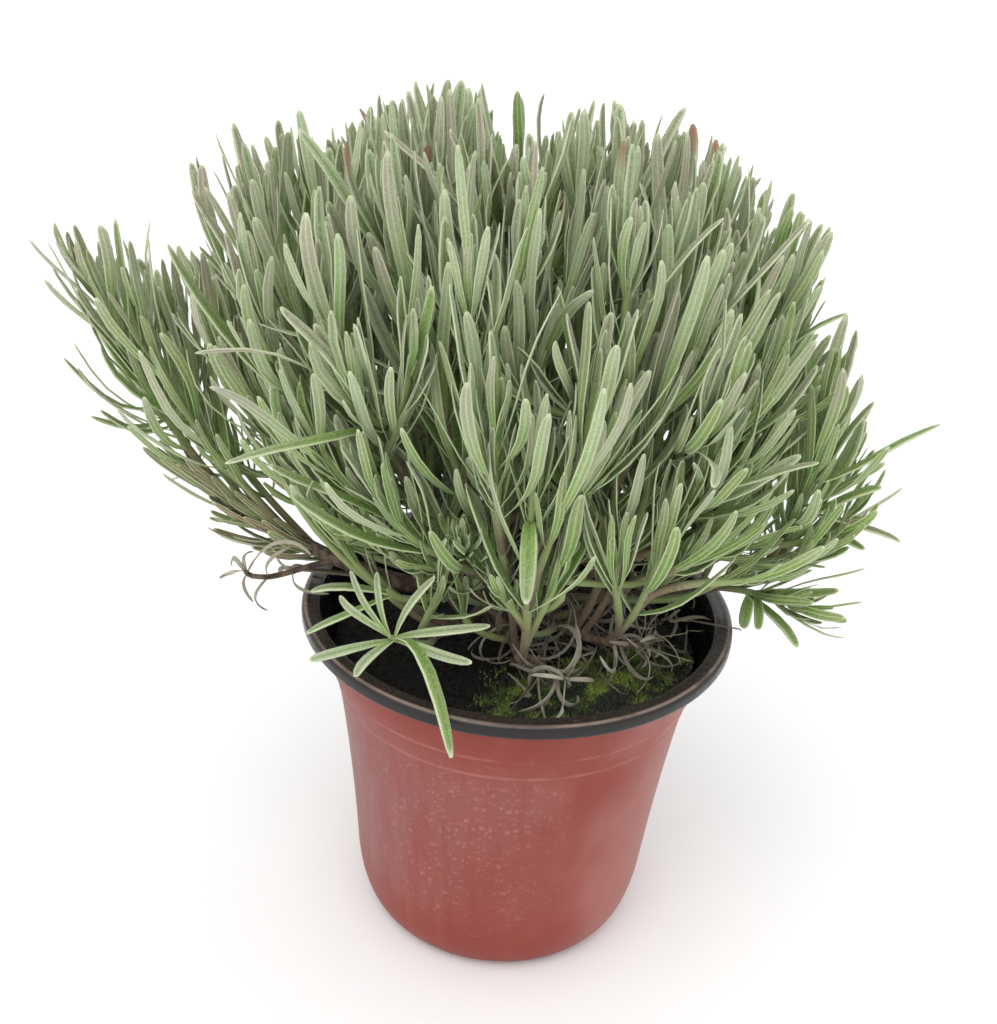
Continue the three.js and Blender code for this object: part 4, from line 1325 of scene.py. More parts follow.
# %% Bark
def bark_finish():
    material, nodes, shader = new_finish("old_bark", 0.85)
    place = here(nodes)
    fibre = noise(nodes, place, 220.0, 4.0, (1.6, 1.6, 0.5), 0.65)
    patch = noise(nodes, place, 60.0, 2.0)
    body = blend(nodes, span(nodes, fibre, 0.35, 0.68), colour(74, 58, 46), colour(134, 116, 98))
    body = blend(nodes, span(nodes, patch, 0.5, 0.75, 0.0, 0.5), body, colour(150, 142, 128))
    nodes.join(body, shader.inputs["Base Color"])
    bump(nodes, shader, fibre, 0.7, 0.0008)
    return material


BARK = finished(bark_finish())


# %% The tree for limbs
def wood_tree():
    nodes, given = new_tree("limbs", {"Knots": 0.0005, "Knot scale": 260.0})
    circle, place = ring(nodes, 12)
    tubes = sweep(nodes, given["Geometry"], circle)
    inputs = {"Vector": place, "Scale": given["Knot scale"], "Detail": 2.0}
    rough = nodes.add("ShaderNodeTexNoise", inputs).outputs[0]
    amount = nodes.calc("MULTIPLY", nodes.calc("SUBTRACT", rough, 0.5), given["Knots"])
    inputs = {0: nodes.add("GeometryNodeInputNormal").outputs[0], 3: nodes.calc("MULTIPLY", amount, 2.0)}
    offset = nodes.add("ShaderNodeVectorMath", inputs, operation="SCALE")
    inputs = {"Geometry": tubes, "Offset": offset.outputs[0]}
    moved = nodes.add("GeometryNodeSetPosition", inputs).outputs[0]
    return finish_tree(nodes, moved, given["Material"])


LIMB_TREE = wood_tree()
print("tree:", LIMB_TREE.name, len(LIMB_TREE.nodes), "nodes")


# %% Limbs and stock
STOCK_FOOT, STOCK_TOP, STOCK_RADIUS = 62, 123, 6.5
WOOD_POINTS = 18
SKIN_GRAIN = 0.8 * MM


def across_ways(lines):
    """For round sections: any way across each line, the same all along."""
    along = unit(np.gradient(lines, axis=1))
    level = np.cross(along, [0, 0.2, 1.0])
    return unit(level)


def wood_piece():
    """The limbs and the stock, and a skin over all of them."""
    steps = np.linspace(0, 1, WOOD_POINTS)
    lines = [point_on(limb["curve"], steps) for limb in limbs]
    half = [limb_thickness(limb, steps) for limb in limbs]
    height = np.linspace(STOCK_FOOT, STOCK_TOP, WOOD_POINTS)
    stock = np.repeat(STOCK[None], WOOD_POINTS, axis=0)
    stock[:, 2] = height
    lines.append(stock)
    half.append(STOCK_RADIUS * np.interp(height, [STOCK_FOOT, 100, 120], [0.5, 0.86, 1]))
    lines, half = np.array(lines), np.array(half)
    half[:-1, -1] *= 0.7
    base = line_mesh("wood", lines, across_ways(lines), half)
    tubes = made_by(LIMB_TREE, base, "woody_crown_tubes", material=BARK)
    remesh = tubes.modifiers.new("one skin", "REMESH")
    remesh.mode = "VOXEL"
    remesh.voxel_size = SKIN_GRAIN
    remesh.use_smooth_shade = True
    mesh = bpy.data.meshes.new_from_object(tubes.evaluated_get(bpy.context.evaluated_depsgraph_get()))
    bpy.data.objects.remove(tubes)
    mesh.materials.clear()
    mesh.materials.append(BARK)
    piece = bpy.data.objects.new("old_wood", mesh)
    scene.collection.objects.link(piece)
    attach(piece, "root")
    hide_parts("woody_crown")
    print("old wood:", triangles(piece), "triangles")


wood_piece()

# %% [markdown]
# ## Dead twigs and curled leaves
# Low in the pot, where no light comes, last year's leaves have dried grey and curled up. They hang
# on thin dead twigs and lie across each other on the soil. Each is a strip that curls ever more
# towards its tip. The curled leaves of the solids keep their places, and more hang beside them.

# %% Dry finish
def dry_finish():
    material, nodes, shader = new_finish("dry_leaf", 0.8)
    place = here(nodes)
    tint, across = fact(nodes, "tint"), fact(nodes, "across")
    body = blend(nodes, tint, colour(96, 88, 72), colour(174, 168, 148))
    patch = noise(nodes, place, 160.0, 3.0)
    body = blend(nodes, span(nodes, patch, 0.52, 0.78, 0.0, 0.5), body, colour(84, 66, 50))
    edge = span(nodes, nodes.calc("ABSOLUTE", across), 0.6, 1.0, 0.0, 0.4)
    body = blend(nodes, edge, body, colour(186, 180, 160))
    nodes.join(body, shader.inputs["Base Color"])
    bump(nodes, shader, noise(nodes, place, 900.0, 3.0), 0.5, 0.0004)
    return material


DRY_FINISH = finished(dry_finish())


# %% The lie of the soil
def soil_height(x, y):
    """The lumpy top of the soil, in millimetres. It is higher at the front right."""
    low = 0.9 * np.sin(x / 9 + 1.3) * np.cos(y / 11) + 0.5 * np.sin((x + y) / 5)
    return SOIL_TOP + low + 2.2 * np.exp(-((x - 30) ** 2 + (y + 34) ** 2) / 500)


STRIP_ROOM = 60


def rested(points):
    """Points lifted onto the soil, and kept off the wall of the pot and its flange."""
    reach = np.hypot(points[:, 0], points[:, 1])
    inside = (reach < RIM_RADIUS + 9) & (points[:, 2] < POT_HEIGHT + 3)
    shrink = np.where(inside, np.minimum(1, STRIP_ROOM / np.maximum(reach, 1)), 1)
    points[:, :2] *= shrink[:, None]
    reach = np.hypot(points[:, 0], points[:, 1])
    over_soil = reach < RIM_RADIUS - 9
    ground = np.where(over_soil, soil_height(points[:, 0], points[:, 1]) + 0.9, -np.inf)
    points[:, 2] = np.maximum(points[:, 2], ground)
    return points


print("soil under the stock:", round(float(soil_height(STOCK[0], STOCK[1])), 1), "mm high")


# %% Curled strips
STRIP_STEPS = 13
LOOSE_STRIPS = 110


def curled(root, heading, length, curl, droop, random):
    """A strip that starts one way and curls, more and more, round an axis of its own."""
    heading = unit(np.array(heading, float))
    axis = unit(np.cross(heading, random.normal(0, 1, 3)))
    points, step = [np.array(root, float)], length / (STRIP_STEPS - 1)
    for i in range(STRIP_STEPS - 1):
        bend = math.radians(curl) * (0.4 + 1.2 * i / STRIP_STEPS) / (STRIP_STEPS - 1)
        heading = heading * math.cos(bend) + np.cross(axis, heading) * math.sin(bend)
        heading = unit(heading + (0, 0, -droop))
        points.append(points[-1] + step * heading)
    return rested(np.array(points))


def strips_on_twigs(random):
    """The solids' curled leaves, and more beside them. The twig outside the rim is stiffer."""
    strips = []
    for index, shoot in enumerate(shoots):
        if shoot["habit"] != "dry":
            continue
        for leaf in leaves:
            if leaf["shoot"] == index:
                points = rested(point_on(leaf["curve"], np.linspace(0, 1, STRIP_STEPS)))
                strips.append((points, leaf["side"], 0.36 * leaf["width"]))
        stiff = shoot["tip"][0] < -RIM_RADIUS
        for t in random.uniform(0.3, 1, 4 if stiff else 12):
            outward = outward_at(shoot, t, random.uniform(0, 360))
            heading = outward + 0.5 * direction_on(shoot["curve"], t) - (0, 0, 0.3)
            root = point_on(shoot["curve"], t)
            curl = random.uniform(30, 110) if stiff else random.uniform(60, 260)
            points = curled(root, heading, random.uniform(16, 30), curl, 0.08, random)
            strips.append((points, outward, random.uniform(0.45, 0.85) + 0.35 * stiff))
    return strips


def loose_strips(random):
    """Strips that hang from the low stems at the front right, and lie on the soil."""
    strips = []
    for i in range(LOOSE_STRIPS):
        x, y = random.uniform(-8, 54), random.uniform(-26, 20)
        z = random.uniform(118, 148) if i % 4 else random.uniform(110, 114)
        heading = (random.normal(0, 1), random.normal(0, 1) - 0.2, -1.2 if i % 3 else 0.1)
        length, curl = random.uniform(20, 38), random.uniform(80, 280)
        points = curled((x, y, z), heading, length, curl, 0.12, random)
        strips.append((points, random.normal(0, 1, 3), random.uniform(0.4, 0.8)))
    return strips


def dry_piece():
    random = np.random.default_rng(31)
    strips = strips_on_twigs(random) + loose_strips(random)
    lines = np.array([points for points, _, _ in strips])
    steps = np.linspace(0, 1, STRIP_STEPS)
    along = unit(np.gradient(lines, axis=1) + 1e-9)
    side = np.array([way for _, way, _ in strips])[:, None] * np.ones((1, STRIP_STEPS, 1))
    side = unit(side - along * (side * along).sum(-1, keepdims=True) + 1e-6)
    half = np.array([width for _, _, width in strips])[:, None]
    half = half * np.interp(steps, [0, 0.15, 0.6, 0.92, 1], [0.4, 0.8, 1, 0.7, 0.25])
    tint = random.random((len(strips), 1))
    base = line_mesh("strips", lines, side, half, tint=tint)
    sizes = dict(thickness=0.5, fullness=0.4)
    piece = made_by(BLADES, base, "curled_dry_leaves", **sizes, material=DRY_FINISH)
    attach(piece, "root")
    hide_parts(*(shoot["name"] for shoot in shoots if shoot["habit"] == "dry"))
    print("curled leaves:", len(strips), "with", triangles(piece), "triangles")


def twig_piece():
    """The dead stems, thinner than live ones and a little crooked."""
    steps = np.linspace(0, 1, 15)
    dry = [shoot for shoot in shoots if shoot["habit"] == "dry"]
    lines = np.array([point_on(shoot["curve"], steps) for shoot in dry])
    lines += np.sin(np.arange(len(steps)) * 1.9)[None, :, None] * (0.35, -0.3, 0.3)
    half = np.repeat(stem_radius(steps)[None] * 0.85, len(dry), axis=0)
    half[:, -1] *= 0.5
    base = line_mesh("twigs", lines, across_ways(lines), half)
    piece = made_by(STEMS, base, "dead_twigs", hollow=0.9, material=BARK)
    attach(piece, "root")
    print("dead twigs:", len(dry), "with", triangles(piece), "triangles")


dry_piece()
twig_piece()

# %% [markdown]
# ## Pot
# The pot is one sheet, formed over a mould: brick red outside, near-black inside. It flares to a
# flat flange with a lip, two fine lines run round it, and the foot is rounded, with drain holes.
# It is turned from its section, with many more steps than the solid has, and the holes are cut.
# A sheet with thickness from a modifier would be quicker, but the lip needs a section of its own.

# %% Section of the pot
POT_SIDES = 144
GROOVES = (96.5, 105)
GROOVE_DEPTH, GROOVE_HALF_WIDTH = 0.28, 0.35


def arc(start, control, end, count):
    t = np.linspace(0, 1, count)[:, None]
    start, control, end = (np.array(p, float) for p in (start, control, end))
    return start * (1 - t) ** 2 + 2 * control * t * (1 - t) + end * t**2


def pot_outside():
    """Radius and height, from the edge of the underside up to the lip."""
    foot = arc((45, 0), (52.2, 2), (54.2, 22), 14)
    side = arc((54.2, 22), (57.5, 66), (62.4, 96.5), 16)[1:]
    band = arc((62.4, 96.5), (63.65, 100.75), (64.9, 105), 8)[1:]
    flare = arc((64.9, 105), (67.6, 112.5), (69.8, 122.4), 12)[1:]
    wall = np.vstack([foot, side, band, flare])
    extra = [line + np.array([-0.7, -0.35, 0, 0.35, 0.7]) for line in GROOVES]
    rows = np.sort(np.concatenate([wall[:, 1], *extra]))
    radius = np.interp(rows, wall[:, 1], wall[:, 0])
    for line in GROOVES:
        radius += GROOVE_DEPTH * np.exp(-(((rows - line) / GROOVE_HALF_WIDTH) ** 2))
    return np.stack([radius, rows], 1)


def pot_lip():
    under = arc((70.3, 121.9), (71.5, 121.5), (73.6, 121.5), 4)
    curl = arc((73.9, 121.4), (75, 121.3), (75, 122.6), 5)
    edge = arc((75, 124.2), (75, 126), (73.2, 126), 6)
    flat = arc((72.5, 125.95), (71.4, 125.8), (70.4, 125.95), 4)
    mouth = arc((70, 125.9), (68.8, 125.9), (68.6, 124.6), 5)
    return np.vstack([under, curl, edge, flat, mouth])


def pot_inside():
    return np.array([(68.6, 123.6), (63.7, 105), (61.2, 96.5), (53.0, 22), (49.3, 7.5), (43.8, 2.4)])


pot_section = np.vstack([pot_outside(), pot_lip(), pot_inside()])
print("points in the pot's section:", len(pot_section))


# %% Turning the section
def turned(section, sides, waver=0.0):
    """A closed body, turned from a section that starts and ends near the axis."""
    turns = np.arange(sides) * 2 * math.pi / sides
    rows = [[(0.0, 0.0, section[0][1])]]
    for radius, height in section:
        out = radius + waver * np.sin(3 * turns + height / 40) * min(1, height / 30)
        rows.append(list(zip(out * np.cos(turns), out * np.sin(turns), np.full(sides, height))))
    rows.append([(0.0, 0.0, section[-1][1])])
    verts = [place for row in rows for place in row]
    faces, last = [], len(verts) - 1
    for k in range(sides):
        after = (k + 1) % sides
        faces.append((0, 1 + after, 1 + k))
        faces.append((last, last - sides + k, last - sides + after))
        for row in range(len(section) - 1):
            low, high = 1 + row * sides, 1 + (row + 1) * sides
            faces.append((low + k, low + after, high + after, high + k))
    mesh = bpy.data.meshes.new("turned")
    mesh.from_pydata((np.array(verts) * MM).tolist(), [], faces)
    return mesh


def cutter(mesh, place, turn=0.0):
    holder = bpy.data.objects.new("cutter", mesh)
    scene.collection.objects.link(holder)
    holder.matrix_world = Matrix.Rotation(turn, 4, "Z") @ Matrix.Translation(Vector(place) * MM)
    return holder


def solid(kind, **sizes):
    """A simple solid as a mesh. kind is create_cone or create_cube."""
    mesh = bpy.data.meshes.new(kind)
    shape = bmesh.new()
    getattr(bmesh.ops, kind)(shape, **sizes)
    shape.to_mesh(mesh)
    shape.free()
    return mesh


def cut(piece, cutters):
    for tool in cutters:
        modifier = piece.modifiers.new("cut", "BOOLEAN")
        modifier.operation = "DIFFERENCE"
        modifier.solver = "EXACT"
        modifier.object = tool
    bpy.context.view_layer.update()
    mesh = bpy.data.meshes.new_from_object(piece.evaluated_get(bpy.context.evaluated_depsgraph_get()))
    piece.modifiers.clear()
    piece.data = mesh
    for tool in cutters:
        bpy.data.objects.remove(tool)


# %% [markdown]
# ## The finishes of the pot
# The red outside is dull plastic that has stood in the open. Hard water has left chalky specks and
# a haze where it ran down, most of them at the front left, and hands and benches have scuffed it.
# Its colour also holds a mauve-grey painted reflection down the left side, painted light that makes
# the right side paler, and two fine lines painted paler. The inside is glossier. Its colour darkens
# to near-black below the lip and on the lip's outer face as painted shade, and a painted highlight
# runs along the crest of the lip. All this is colour and no shape, so it is noise in the finish. A
# painted picture could show the same marks, but noise is sharp from any distance and needs no seam.

# %% The red outside
def dots(nodes, place, scale, radius):
    """Soft dots of many sizes, one in each cell of a cell pattern."""
    cells = nodes.add("ShaderNodeTexVoronoi", {"Vector": place, "Scale": scale}).outputs
    size = nodes.add("ShaderNodeSeparateColor", {0: cells["Color"]}).outputs[0]
    edge = nodes.calc("MULTIPLY", nodes.calc("POWER", size, 1.1), radius)
    return span(nodes, nodes.calc("DIVIDE", cells["Distance"], edge), 1.0, 0.1)


def red_finish():
    material, nodes, shader = new_finish("brick_red_pot", 0.5)
    shader.inputs["Specular IOR Level"].default_value = 0.25
    place = here(nodes)
    x, y, z = nodes.add("ShaderNodeSeparateXYZ", {0: place}).outputs
    cloud = noise(nodes, place, 22.0, 4.0)
    body = blend(nodes, cloud, colour(127, 49, 40), colour(145, 63, 52))
    streaks = noise(nodes, place, 150.0, 3.0, (1.0, 1.0, 0.08))
    body = blend(nodes, span(nodes, streaks, 0.5, 0.8, 0.0, 0.22), body, colour(166, 98, 90))
    left = nodes.calc("ADD", nodes.calc("MULTIPLY", x, -12.0), nodes.calc("MULTIPLY", y, -9.0))
    high = nodes.calc("MULTIPLY", span(nodes, z, 0.012, 0.04), span(nodes, z, 0.112, 0.088))
    patches = noise(nodes, place, 30.0, 3.0, (1.0, 1.0, 0.6))
    region = nodes.calc("MULTIPLY", span(nodes, nodes.calc("ADD", left, patches), 0.45, 1.3), high)
    columns = noise(nodes, place, 190.0, 2.0, (1.0, 1.0, 0.1))
    clumps = span(nodes, nodes.calc("ADD", columns, noise(nodes, place, 90.0, 2.0)), 0.72, 1.15, 0.12, 1.0)
    wavy = noise(nodes, place, 300.0, 2.0)
    shaken = nodes.add("ShaderNodeVectorMath", {0: wavy, 3: 0.0016}, operation="SCALE").outputs[0]
    shaken = nodes.add("ShaderNodeVectorMath", {0: place, 1: shaken}, operation="ADD").outputs[0]
    coarse = dots(nodes, shaken, 360.0, 0.56)
    fine = dots(nodes, shaken, 620.0, 0.7)
    specks = nodes.calc("MAXIMUM", coarse, nodes.calc("MULTIPLY", fine, 0.7))
    specks = nodes.calc("MULTIPLY", nodes.calc("MULTIPLY", specks, clumps), region)
    haze = nodes.calc("MULTIPLY", region, span(nodes, nodes.calc("ADD", cloud, columns), 0.7, 1.3, 0.2, 0.62))
    body = blend(nodes, haze, body, colour(142, 90, 86))
    # Painted reflection: a mauve-grey cast down the left side of the pot, ragged at its edge.
    ragged = nodes.calc("ADD", x, nodes.calc("MULTIPLY", nodes.calc("SUBTRACT", patches, 0.5), 0.06))
    broken = span(nodes, columns, 0.3, 0.7, 0.35, 0.8)
    margin = nodes.calc("MULTIPLY", span(nodes, ragged, -0.012, -0.062), broken)
    body = blend(nodes, nodes.calc("MULTIPLY", margin, high), body, colour(132, 94, 92))
    body = blend(nodes, nodes.calc("MULTIPLY", specks, 0.5), body, colour(192, 134, 124))
    # Painted light: the right side of the pot is paler, in broken patches.
    broken = span(nodes, patches, 0.25, 0.65, 0.2, 0.6)
    right = nodes.calc("MULTIPLY", span(nodes, ragged, 0.012, 0.056), broken)
    body = blend(nodes, right, body, colour(174, 118, 110))
    # The two fine lines are painted paler, broken up by noise.
    pale_line_breakup = span(nodes, noise(nodes, place, 70.0, 3.0), 0.3, 0.6, 0.1, 0.45)
    for line in GROOVES:
        near = span(nodes, nodes.calc("ABSOLUTE", nodes.calc("SUBTRACT", z, line * MM)), 0.0011, 0.0)
        body = blend(nodes, nodes.calc("MULTIPLY", near, pale_line_breakup), body, colour(188, 124, 112))
    scuff = noise(nodes, place, 420.0, 2.0, (0.25, 0.25, 1.2))
    body = blend(nodes, span(nodes, scuff, 0.68, 0.82, 0.0, 0.2), body, colour(178, 122, 114))
    nodes.join(body, shader.inputs["Base Color"])
    nodes.join(span(nodes, nodes.calc("ADD", cloud, specks), 0.2, 1.3, 0.42, 0.66), shader.inputs["Roughness"])
    bump(nodes, shader, noise(nodes, place, 160.0, 3.0), 0.12, 0.0006)
    return material


RED_FINISH = finished(red_finish())


# %% The near-black inside
def black_finish():
    material, nodes, shader = new_finish("near_black_inside", 0.3)
    shader.inputs["Specular IOR Level"].default_value = 0.4
    place = here(nodes)
    x, y, z = nodes.add("ShaderNodeSeparateXYZ", {0: place}).outputs
    body = blend(nodes, noise(nodes, place, 40.0, 4.0), colour(38, 31, 29), colour(58, 49, 46))
    squares = nodes.calc("ADD", nodes.calc("MULTIPLY", x, x), nodes.calc("MULTIPLY", y, y))
    radius = nodes.calc("SQRT", squares)
    # Painted highlight: a pale line along the crest of the lip, broken up by noise.
    painted_crest_highlight = span(nodes, nodes.calc("ABSOLUTE", nodes.calc("SUBTRACT", radius, 0.0737)), 0.0009, 0.0002)
    painted_crest_highlight = nodes.calc("MULTIPLY", painted_crest_highlight, span(nodes, z, 0.1245, 0.1256))
    highlight_breakup = span(nodes, noise(nodes, place, 60.0, 3.0), 0.3, 0.6, 0.35, 0.9)
    body = blend(nodes, nodes.calc("MULTIPLY", painted_crest_highlight, highlight_breakup), body, colour(146, 126, 116))
    dust = noise(nodes, place, 500.0, 3.0)
    body = blend(nodes, span(nodes, dust, 0.62, 0.78, 0.0, 0.5), body, colour(104, 92, 84))
    # Painted shade: below the top of the lip the colour darkens to near-black, deepest inside the pot.
    body = blend(nodes, span(nodes, z, 0.124, 0.119), body, colour(13, 12, 11))
    # Painted shade: the outer face of the lip is darker.
    body = blend(nodes, span(nodes, radius, 0.0741, 0.0747), body, colour(27, 22, 21))
    nodes.join(body, shader.inputs["Base Color"])
    nodes.join(span(nodes, dust, 0.3, 0.8, 0.2, 0.44), shader.inputs["Roughness"])
    bump(nodes, shader, noise(nodes, place, 220.0, 3.0), 0.15, 0.0004)
    return material


BLACK_FINISH = finished(black_finish())


# %% The pot itself
DRAIN_RING, DRAIN_RADIUS = 30, 0.004
FOOT_RADIUS, NOTCH_BEARINGS = 45, (-66, 24, 114, 204)
NOTCH = Matrix.Diagonal((0.014, 0.008, 0.0028, 1))
# The red sheet shows on the outside below the lip, and the underside is red too.
RED_BELOW_LIP, RED_UNDERSIDE = 121.6, 1.6
SHEET_HALF = 0.6


def drains():
    """Four round holes in the floor, and four notches through the edge of the foot."""
    round_hole = dict(radius1=DRAIN_RADIUS, radius2=DRAIN_RADIUS, depth=0.02, segments=28, cap_ends=True)
    for turn in np.arange(4) * math.pi / 2:
        place = (DRAIN_RING * math.cos(turn), DRAIN_RING * math.sin(turn), 1)
        yield cutter(solid("create_cone", **round_hole), place)
    for bearing in NOTCH_BEARINGS:
        notch = solid("create_cube", size=1.0, matrix=NOTCH)
        yield cutter(notch, (FOOT_RADIUS, 0, 0), math.radians(bearing))


def pot_piece():
    piece = bpy.data.objects.new("nursery_pot", turned(pot_section, POT_SIDES, waver=0.12))
    scene.collection.objects.link(piece)
    cut(piece, list(drains()))
    mesh = piece.data
    mesh.materials.clear()
    mesh.materials.append(RED_FINISH)
    mesh.materials.append(BLACK_FINISH)
    radii, heights = pot_outside().T
    for face in mesh.polygons:
        x, y, z = np.array(face.center) / MM
        outside = math.hypot(x, y) > np.interp(z, heights, radii) - SHEET_HALF
        red = (outside and z < RED_BELOW_LIP) or z <= RED_UNDERSIDE
        face.material_index = int(not red)
    mesh.shade_smooth()
    mesh.set_sharp_from_angle(angle=math.radians(38))
    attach(piece, "root")
    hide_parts("pot")
    print("pot:", triangles(piece), "triangles")


pot_piece()

# %% [markdown]
# ## Soil, crumbs and moss
# The soil is dark and damp, made of peat crumbs, and a cushion of moss has spread over it at the
# front right. The body of the soil gets a finely broken top. The crumbs and the granules of the
# moss are the same job twice: small grains scattered over a surface, thick where a mask says so.
# One tree does both, with its own sizes.

# %% Soil finish
def soil_finish():
    material, nodes, shader = new_finish("damp_peat", 0.9)
    place = here(nodes)
    grain = noise(nodes, place, 500.0, 5.0, rough=0.7)
    body = blend(nodes, span(nodes, grain, 0.35, 0.7), colour(7, 6, 5), colour(32, 26, 21))
    clumps = span(nodes, noise(nodes, place, 260.0, 3.0), 0.3, 0.6)
    green = nodes.calc("MULTIPLY", fact(nodes, "mossy"), clumps)
    body = blend(nodes, green, body, colour(44, 56, 18))
    fleck = noise(nodes, place, 900.0, 2.0)
    body = blend(nodes, span(nodes, fleck, 0.68, 0.78, 0.0, 0.5), body, colour(92, 76, 58))
    nodes.join(body, shader.inputs["Base Color"])
    bump(nodes, shader, grain, 0.9, 0.0012)
    return material


def moss_finish():
    material, nodes, shader = new_finish("moss", 0.8)
    place = here(nodes)
    patch = noise(nodes, place, 110.0, 3.0)
    grain = noise(nodes, place, 900.0, 2.0)
    body = blend(nodes, span(nodes, patch, 0.42, 0.66), colour(28, 36, 12), colour(96, 118, 28))
    bright = span(nodes, nodes.calc("ADD", patch, grain), 1.02, 1.3, 0.0, 0.8)
    body = blend(nodes, bright, body, colour(182, 198, 74))
    nodes.join(body, shader.inputs["Base Color"])
    shader.inputs["Sheen Weight"].default_value = 0.3
    bump(nodes, shader, grain, 0.6, 0.0006)
    return material


SOIL_FINISH, MOSS_FINISH = finished(soil_finish()), finished(moss_finish())


# %% Body of the soil
def broken_height(x, y):
    """The soil's top with its crumbs: the lie of the soil, with finer and finer lumps."""
    fine = 0.5 * np.sin(x * 0.9 + 2 * np.sin(y * 0.31)) * np.cos(y * 0.8 + 1.7 * np.sin(x * 0.23))
    finer = 0.3 * np.sin(x * 2.1 + 3 * np.sin(y * 0.7)) * np.sin(y * 1.9 + 2.3 * np.sin(x * 0.5))
    return soil_height(x, y) + fine + finer


def moss_mask(x, y):
    """Thick in a crescent along the front right, in clumps."""
    crescent = np.exp(-(((np.hypot(x + 4, y - 12) - 52) / 13) ** 2))
    crescent = crescent * (y < -2) * np.clip((x + 12) / 20, 0, 1)
    clumps = np.sin(x * 0.42 + 2.2 * np.sin(y * 0.21)) * np.cos(y * 0.5 + 1.4 * np.sin(x * 0.17))
    return np.clip(crescent * (0.9 + 0.7 * clumps), 0, 1)


def soil_top(rings=46, sides=120, brim=63.6):
    turns = np.arange(sides) * 2 * math.pi / sides
    rows = []
    for part in np.linspace(1, 0.02, rings):
        x, y = part * brim * np.cos(turns), part * brim * np.sin(turns)
        rows.append(np.stack([x, y, broken_height(x, y)], 1))
    return np.array(rows)


def bands(rows, sides):
    """Faces between rows of points that go round the pot's axis."""
    faces = []
    for low in range(0, (rows - 1) * sides, sides):
        for k in range(sides):
            after = (k + 1) % sides
            faces.append((low + k, low + after, low + sides + after, low + sides + k))
    return faces


# Radius and height of the soil's side, just inside the wall of the pot.
SOIL_SIDE = ((43.3, 2.8), (48.8, 7.8), (52.5, 22.3), (60.7, 96.8), (63.2, 105.3))


def soil_body():
    top = soil_top()
    sides = top.shape[1]
    turns = np.arange(sides) * 2 * math.pi / sides
    side = [
        np.stack([radius * np.cos(turns), radius * np.sin(turns), np.full(sides, height)], 1)
        for radius, height in SOIL_SIDE
    ]
    rows = np.concatenate([np.array(side), top])
    underside, middle = range(sides), range((len(rows) - 1) * sides, len(rows) * sides)
    faces = [tuple(underside)[::-1], tuple(middle), *bands(len(rows), sides)]
    mesh = bpy.data.meshes.new("soil")
    mesh.from_pydata((rows.reshape(-1, 3) * MM).tolist(), [], faces)
    mossy = moss_mask(*rows.reshape(-1, 3).T[:2]).astype(np.float32)
    mesh.attributes.new("mossy", "FLOAT", "POINT").data.foreach_set("value", mossy)
    mesh.materials.append(SOIL_FINISH)
    mesh.shade_smooth()
    piece = bpy.data.objects.new("potting_soil", mesh)
    scene.collection.objects.link(piece)
    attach(piece, "root")
    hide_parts("soil")
    print("soil:", triangles(piece), "triangles")


soil_body()


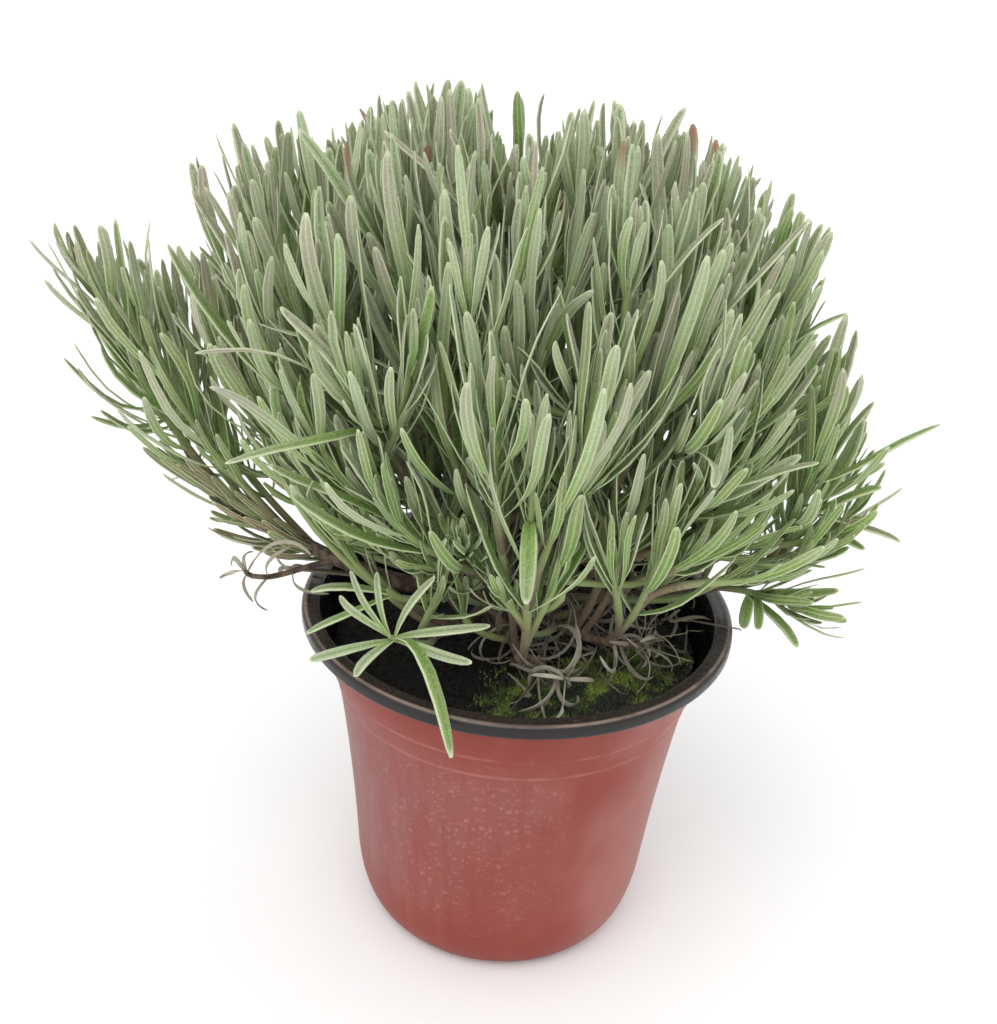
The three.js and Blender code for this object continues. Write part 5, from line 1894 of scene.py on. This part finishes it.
# %% Grains over a surface
def grain_tree():
    sizes = {"Density": 1e5, "Smallest": 0.0004, "Largest": 0.001, "Flatness": 0.7}
    nodes, given = new_tree("grains", {**sizes, "Seed": 3, "Spikes": 0.0})
    density = nodes.calc("MULTIPLY", given["Density"], named(nodes, "mask"))
    inputs = {"Mesh": given["Geometry"], "Density": density, "Seed": given["Seed"]}
    spread = nodes.add("GeometryNodeDistributePointsOnFaces", inputs)
    lump = nodes.add("GeometryNodeMeshIcoSphere", {"Radius": 1.0, "Subdivisions": 1}).outputs[0]
    inputs = {"Vertices": 4, "Radius Top": 0.0, "Radius Bottom": 0.5, "Depth": 2.0}
    spike = nodes.add("GeometryNodeMeshCone", inputs).outputs[0]
    spiky = nodes.calc("GREATER_THAN", given["Spikes"], 0.5)
    inputs = {"Switch": spiky, "False": lump, "True": spike}
    grain = nodes.add("GeometryNodeSwitch", inputs, input_type="GEOMETRY").outputs[0]
    inputs = {2: given["Smallest"], 3: given["Largest"], "Seed": given["Seed"]}
    size = nodes.add("FunctionNodeRandomValue", inputs, data_type="FLOAT").outputs[1]
    depth, height = nodes.calc("MULTIPLY", size, 0.85), nodes.calc("MULTIPLY", size, given["Flatness"])
    shape = nodes.add("ShaderNodeCombineXYZ", {0: size, 1: depth, 2: height}).outputs[0]
    inputs = {0: (-0.6, -0.6, 0), 1: (0.6, 0.6, 6.28), "Seed": 9}
    turn = nodes.add("FunctionNodeRandomValue", inputs, data_type="FLOAT_VECTOR").outputs[0]
    inputs = {"Points": spread.outputs["Points"], "Instance": grain, "Rotation": turn, "Scale": shape}
    placed = nodes.add("GeometryNodeInstanceOnPoints", inputs)
    return finish_tree(nodes, placed.outputs[0], given["Material"], smooth=False)


GRAINS = grain_tree()
print("tree:", GRAINS.name, len(GRAINS.nodes), "nodes")


def surface_with(mask):
    """The top of the soil alone, with a mask for grains."""
    top = soil_top(rings=40, sides=96, brim=63.0)
    mesh = bpy.data.meshes.new("surface")
    mesh.from_pydata((top.reshape(-1, 3) * MM).tolist(), [], bands(*top.shape[:2]))
    values = mask(top[..., 0], top[..., 1]).astype(np.float32).ravel()
    mesh.attributes.new("mask", "FLOAT", "POINT").data.foreach_set("value", values)
    return mesh


def grain_piece(name, mask, slot, **sizes):
    piece = made_by(GRAINS, surface_with(mask), name, **sizes)
    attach(piece, "root")
    print(name, "with", triangles(piece), "triangles")


def crumb_mask(x, y):
    return 1 - 0.6 * moss_mask(x, y)


crumbs = dict(density=1.6e5, smallest=0.0005, largest=0.0017, seed=3, flatness=0.7)
cushion = dict(density=1.2e6, smallest=0.0005, largest=0.0011, seed=11, flatness=0.8)
tips = dict(density=5.5e6, smallest=0.0005, largest=0.0012, seed=12, flatness=1.3, spikes=1.0)
grain_piece("peat_crumbs", crumb_mask, "soil", material=SOIL_FINISH, **crumbs)
grain_piece("moss_cushion", moss_mask, "leaf", material=MOSS_FINISH, **cushion)
grain_piece("moss_points", moss_mask, "leaf", material=MOSS_FINISH, **tips)

# %% [markdown]
# ## Size after dressing
# With all pieces on, the size is measured again and printed beside the size that the solids had,
# so anyone can see how little the dressing adds to it.

# %% Size after dressing
box_before_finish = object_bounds()
sizes = {"after_load": box_after_load, "before_finish": box_before_finish}
sizes = {name: [list(corner) for corner in box] for name, box in sizes.items()}
print("box:", sizes)
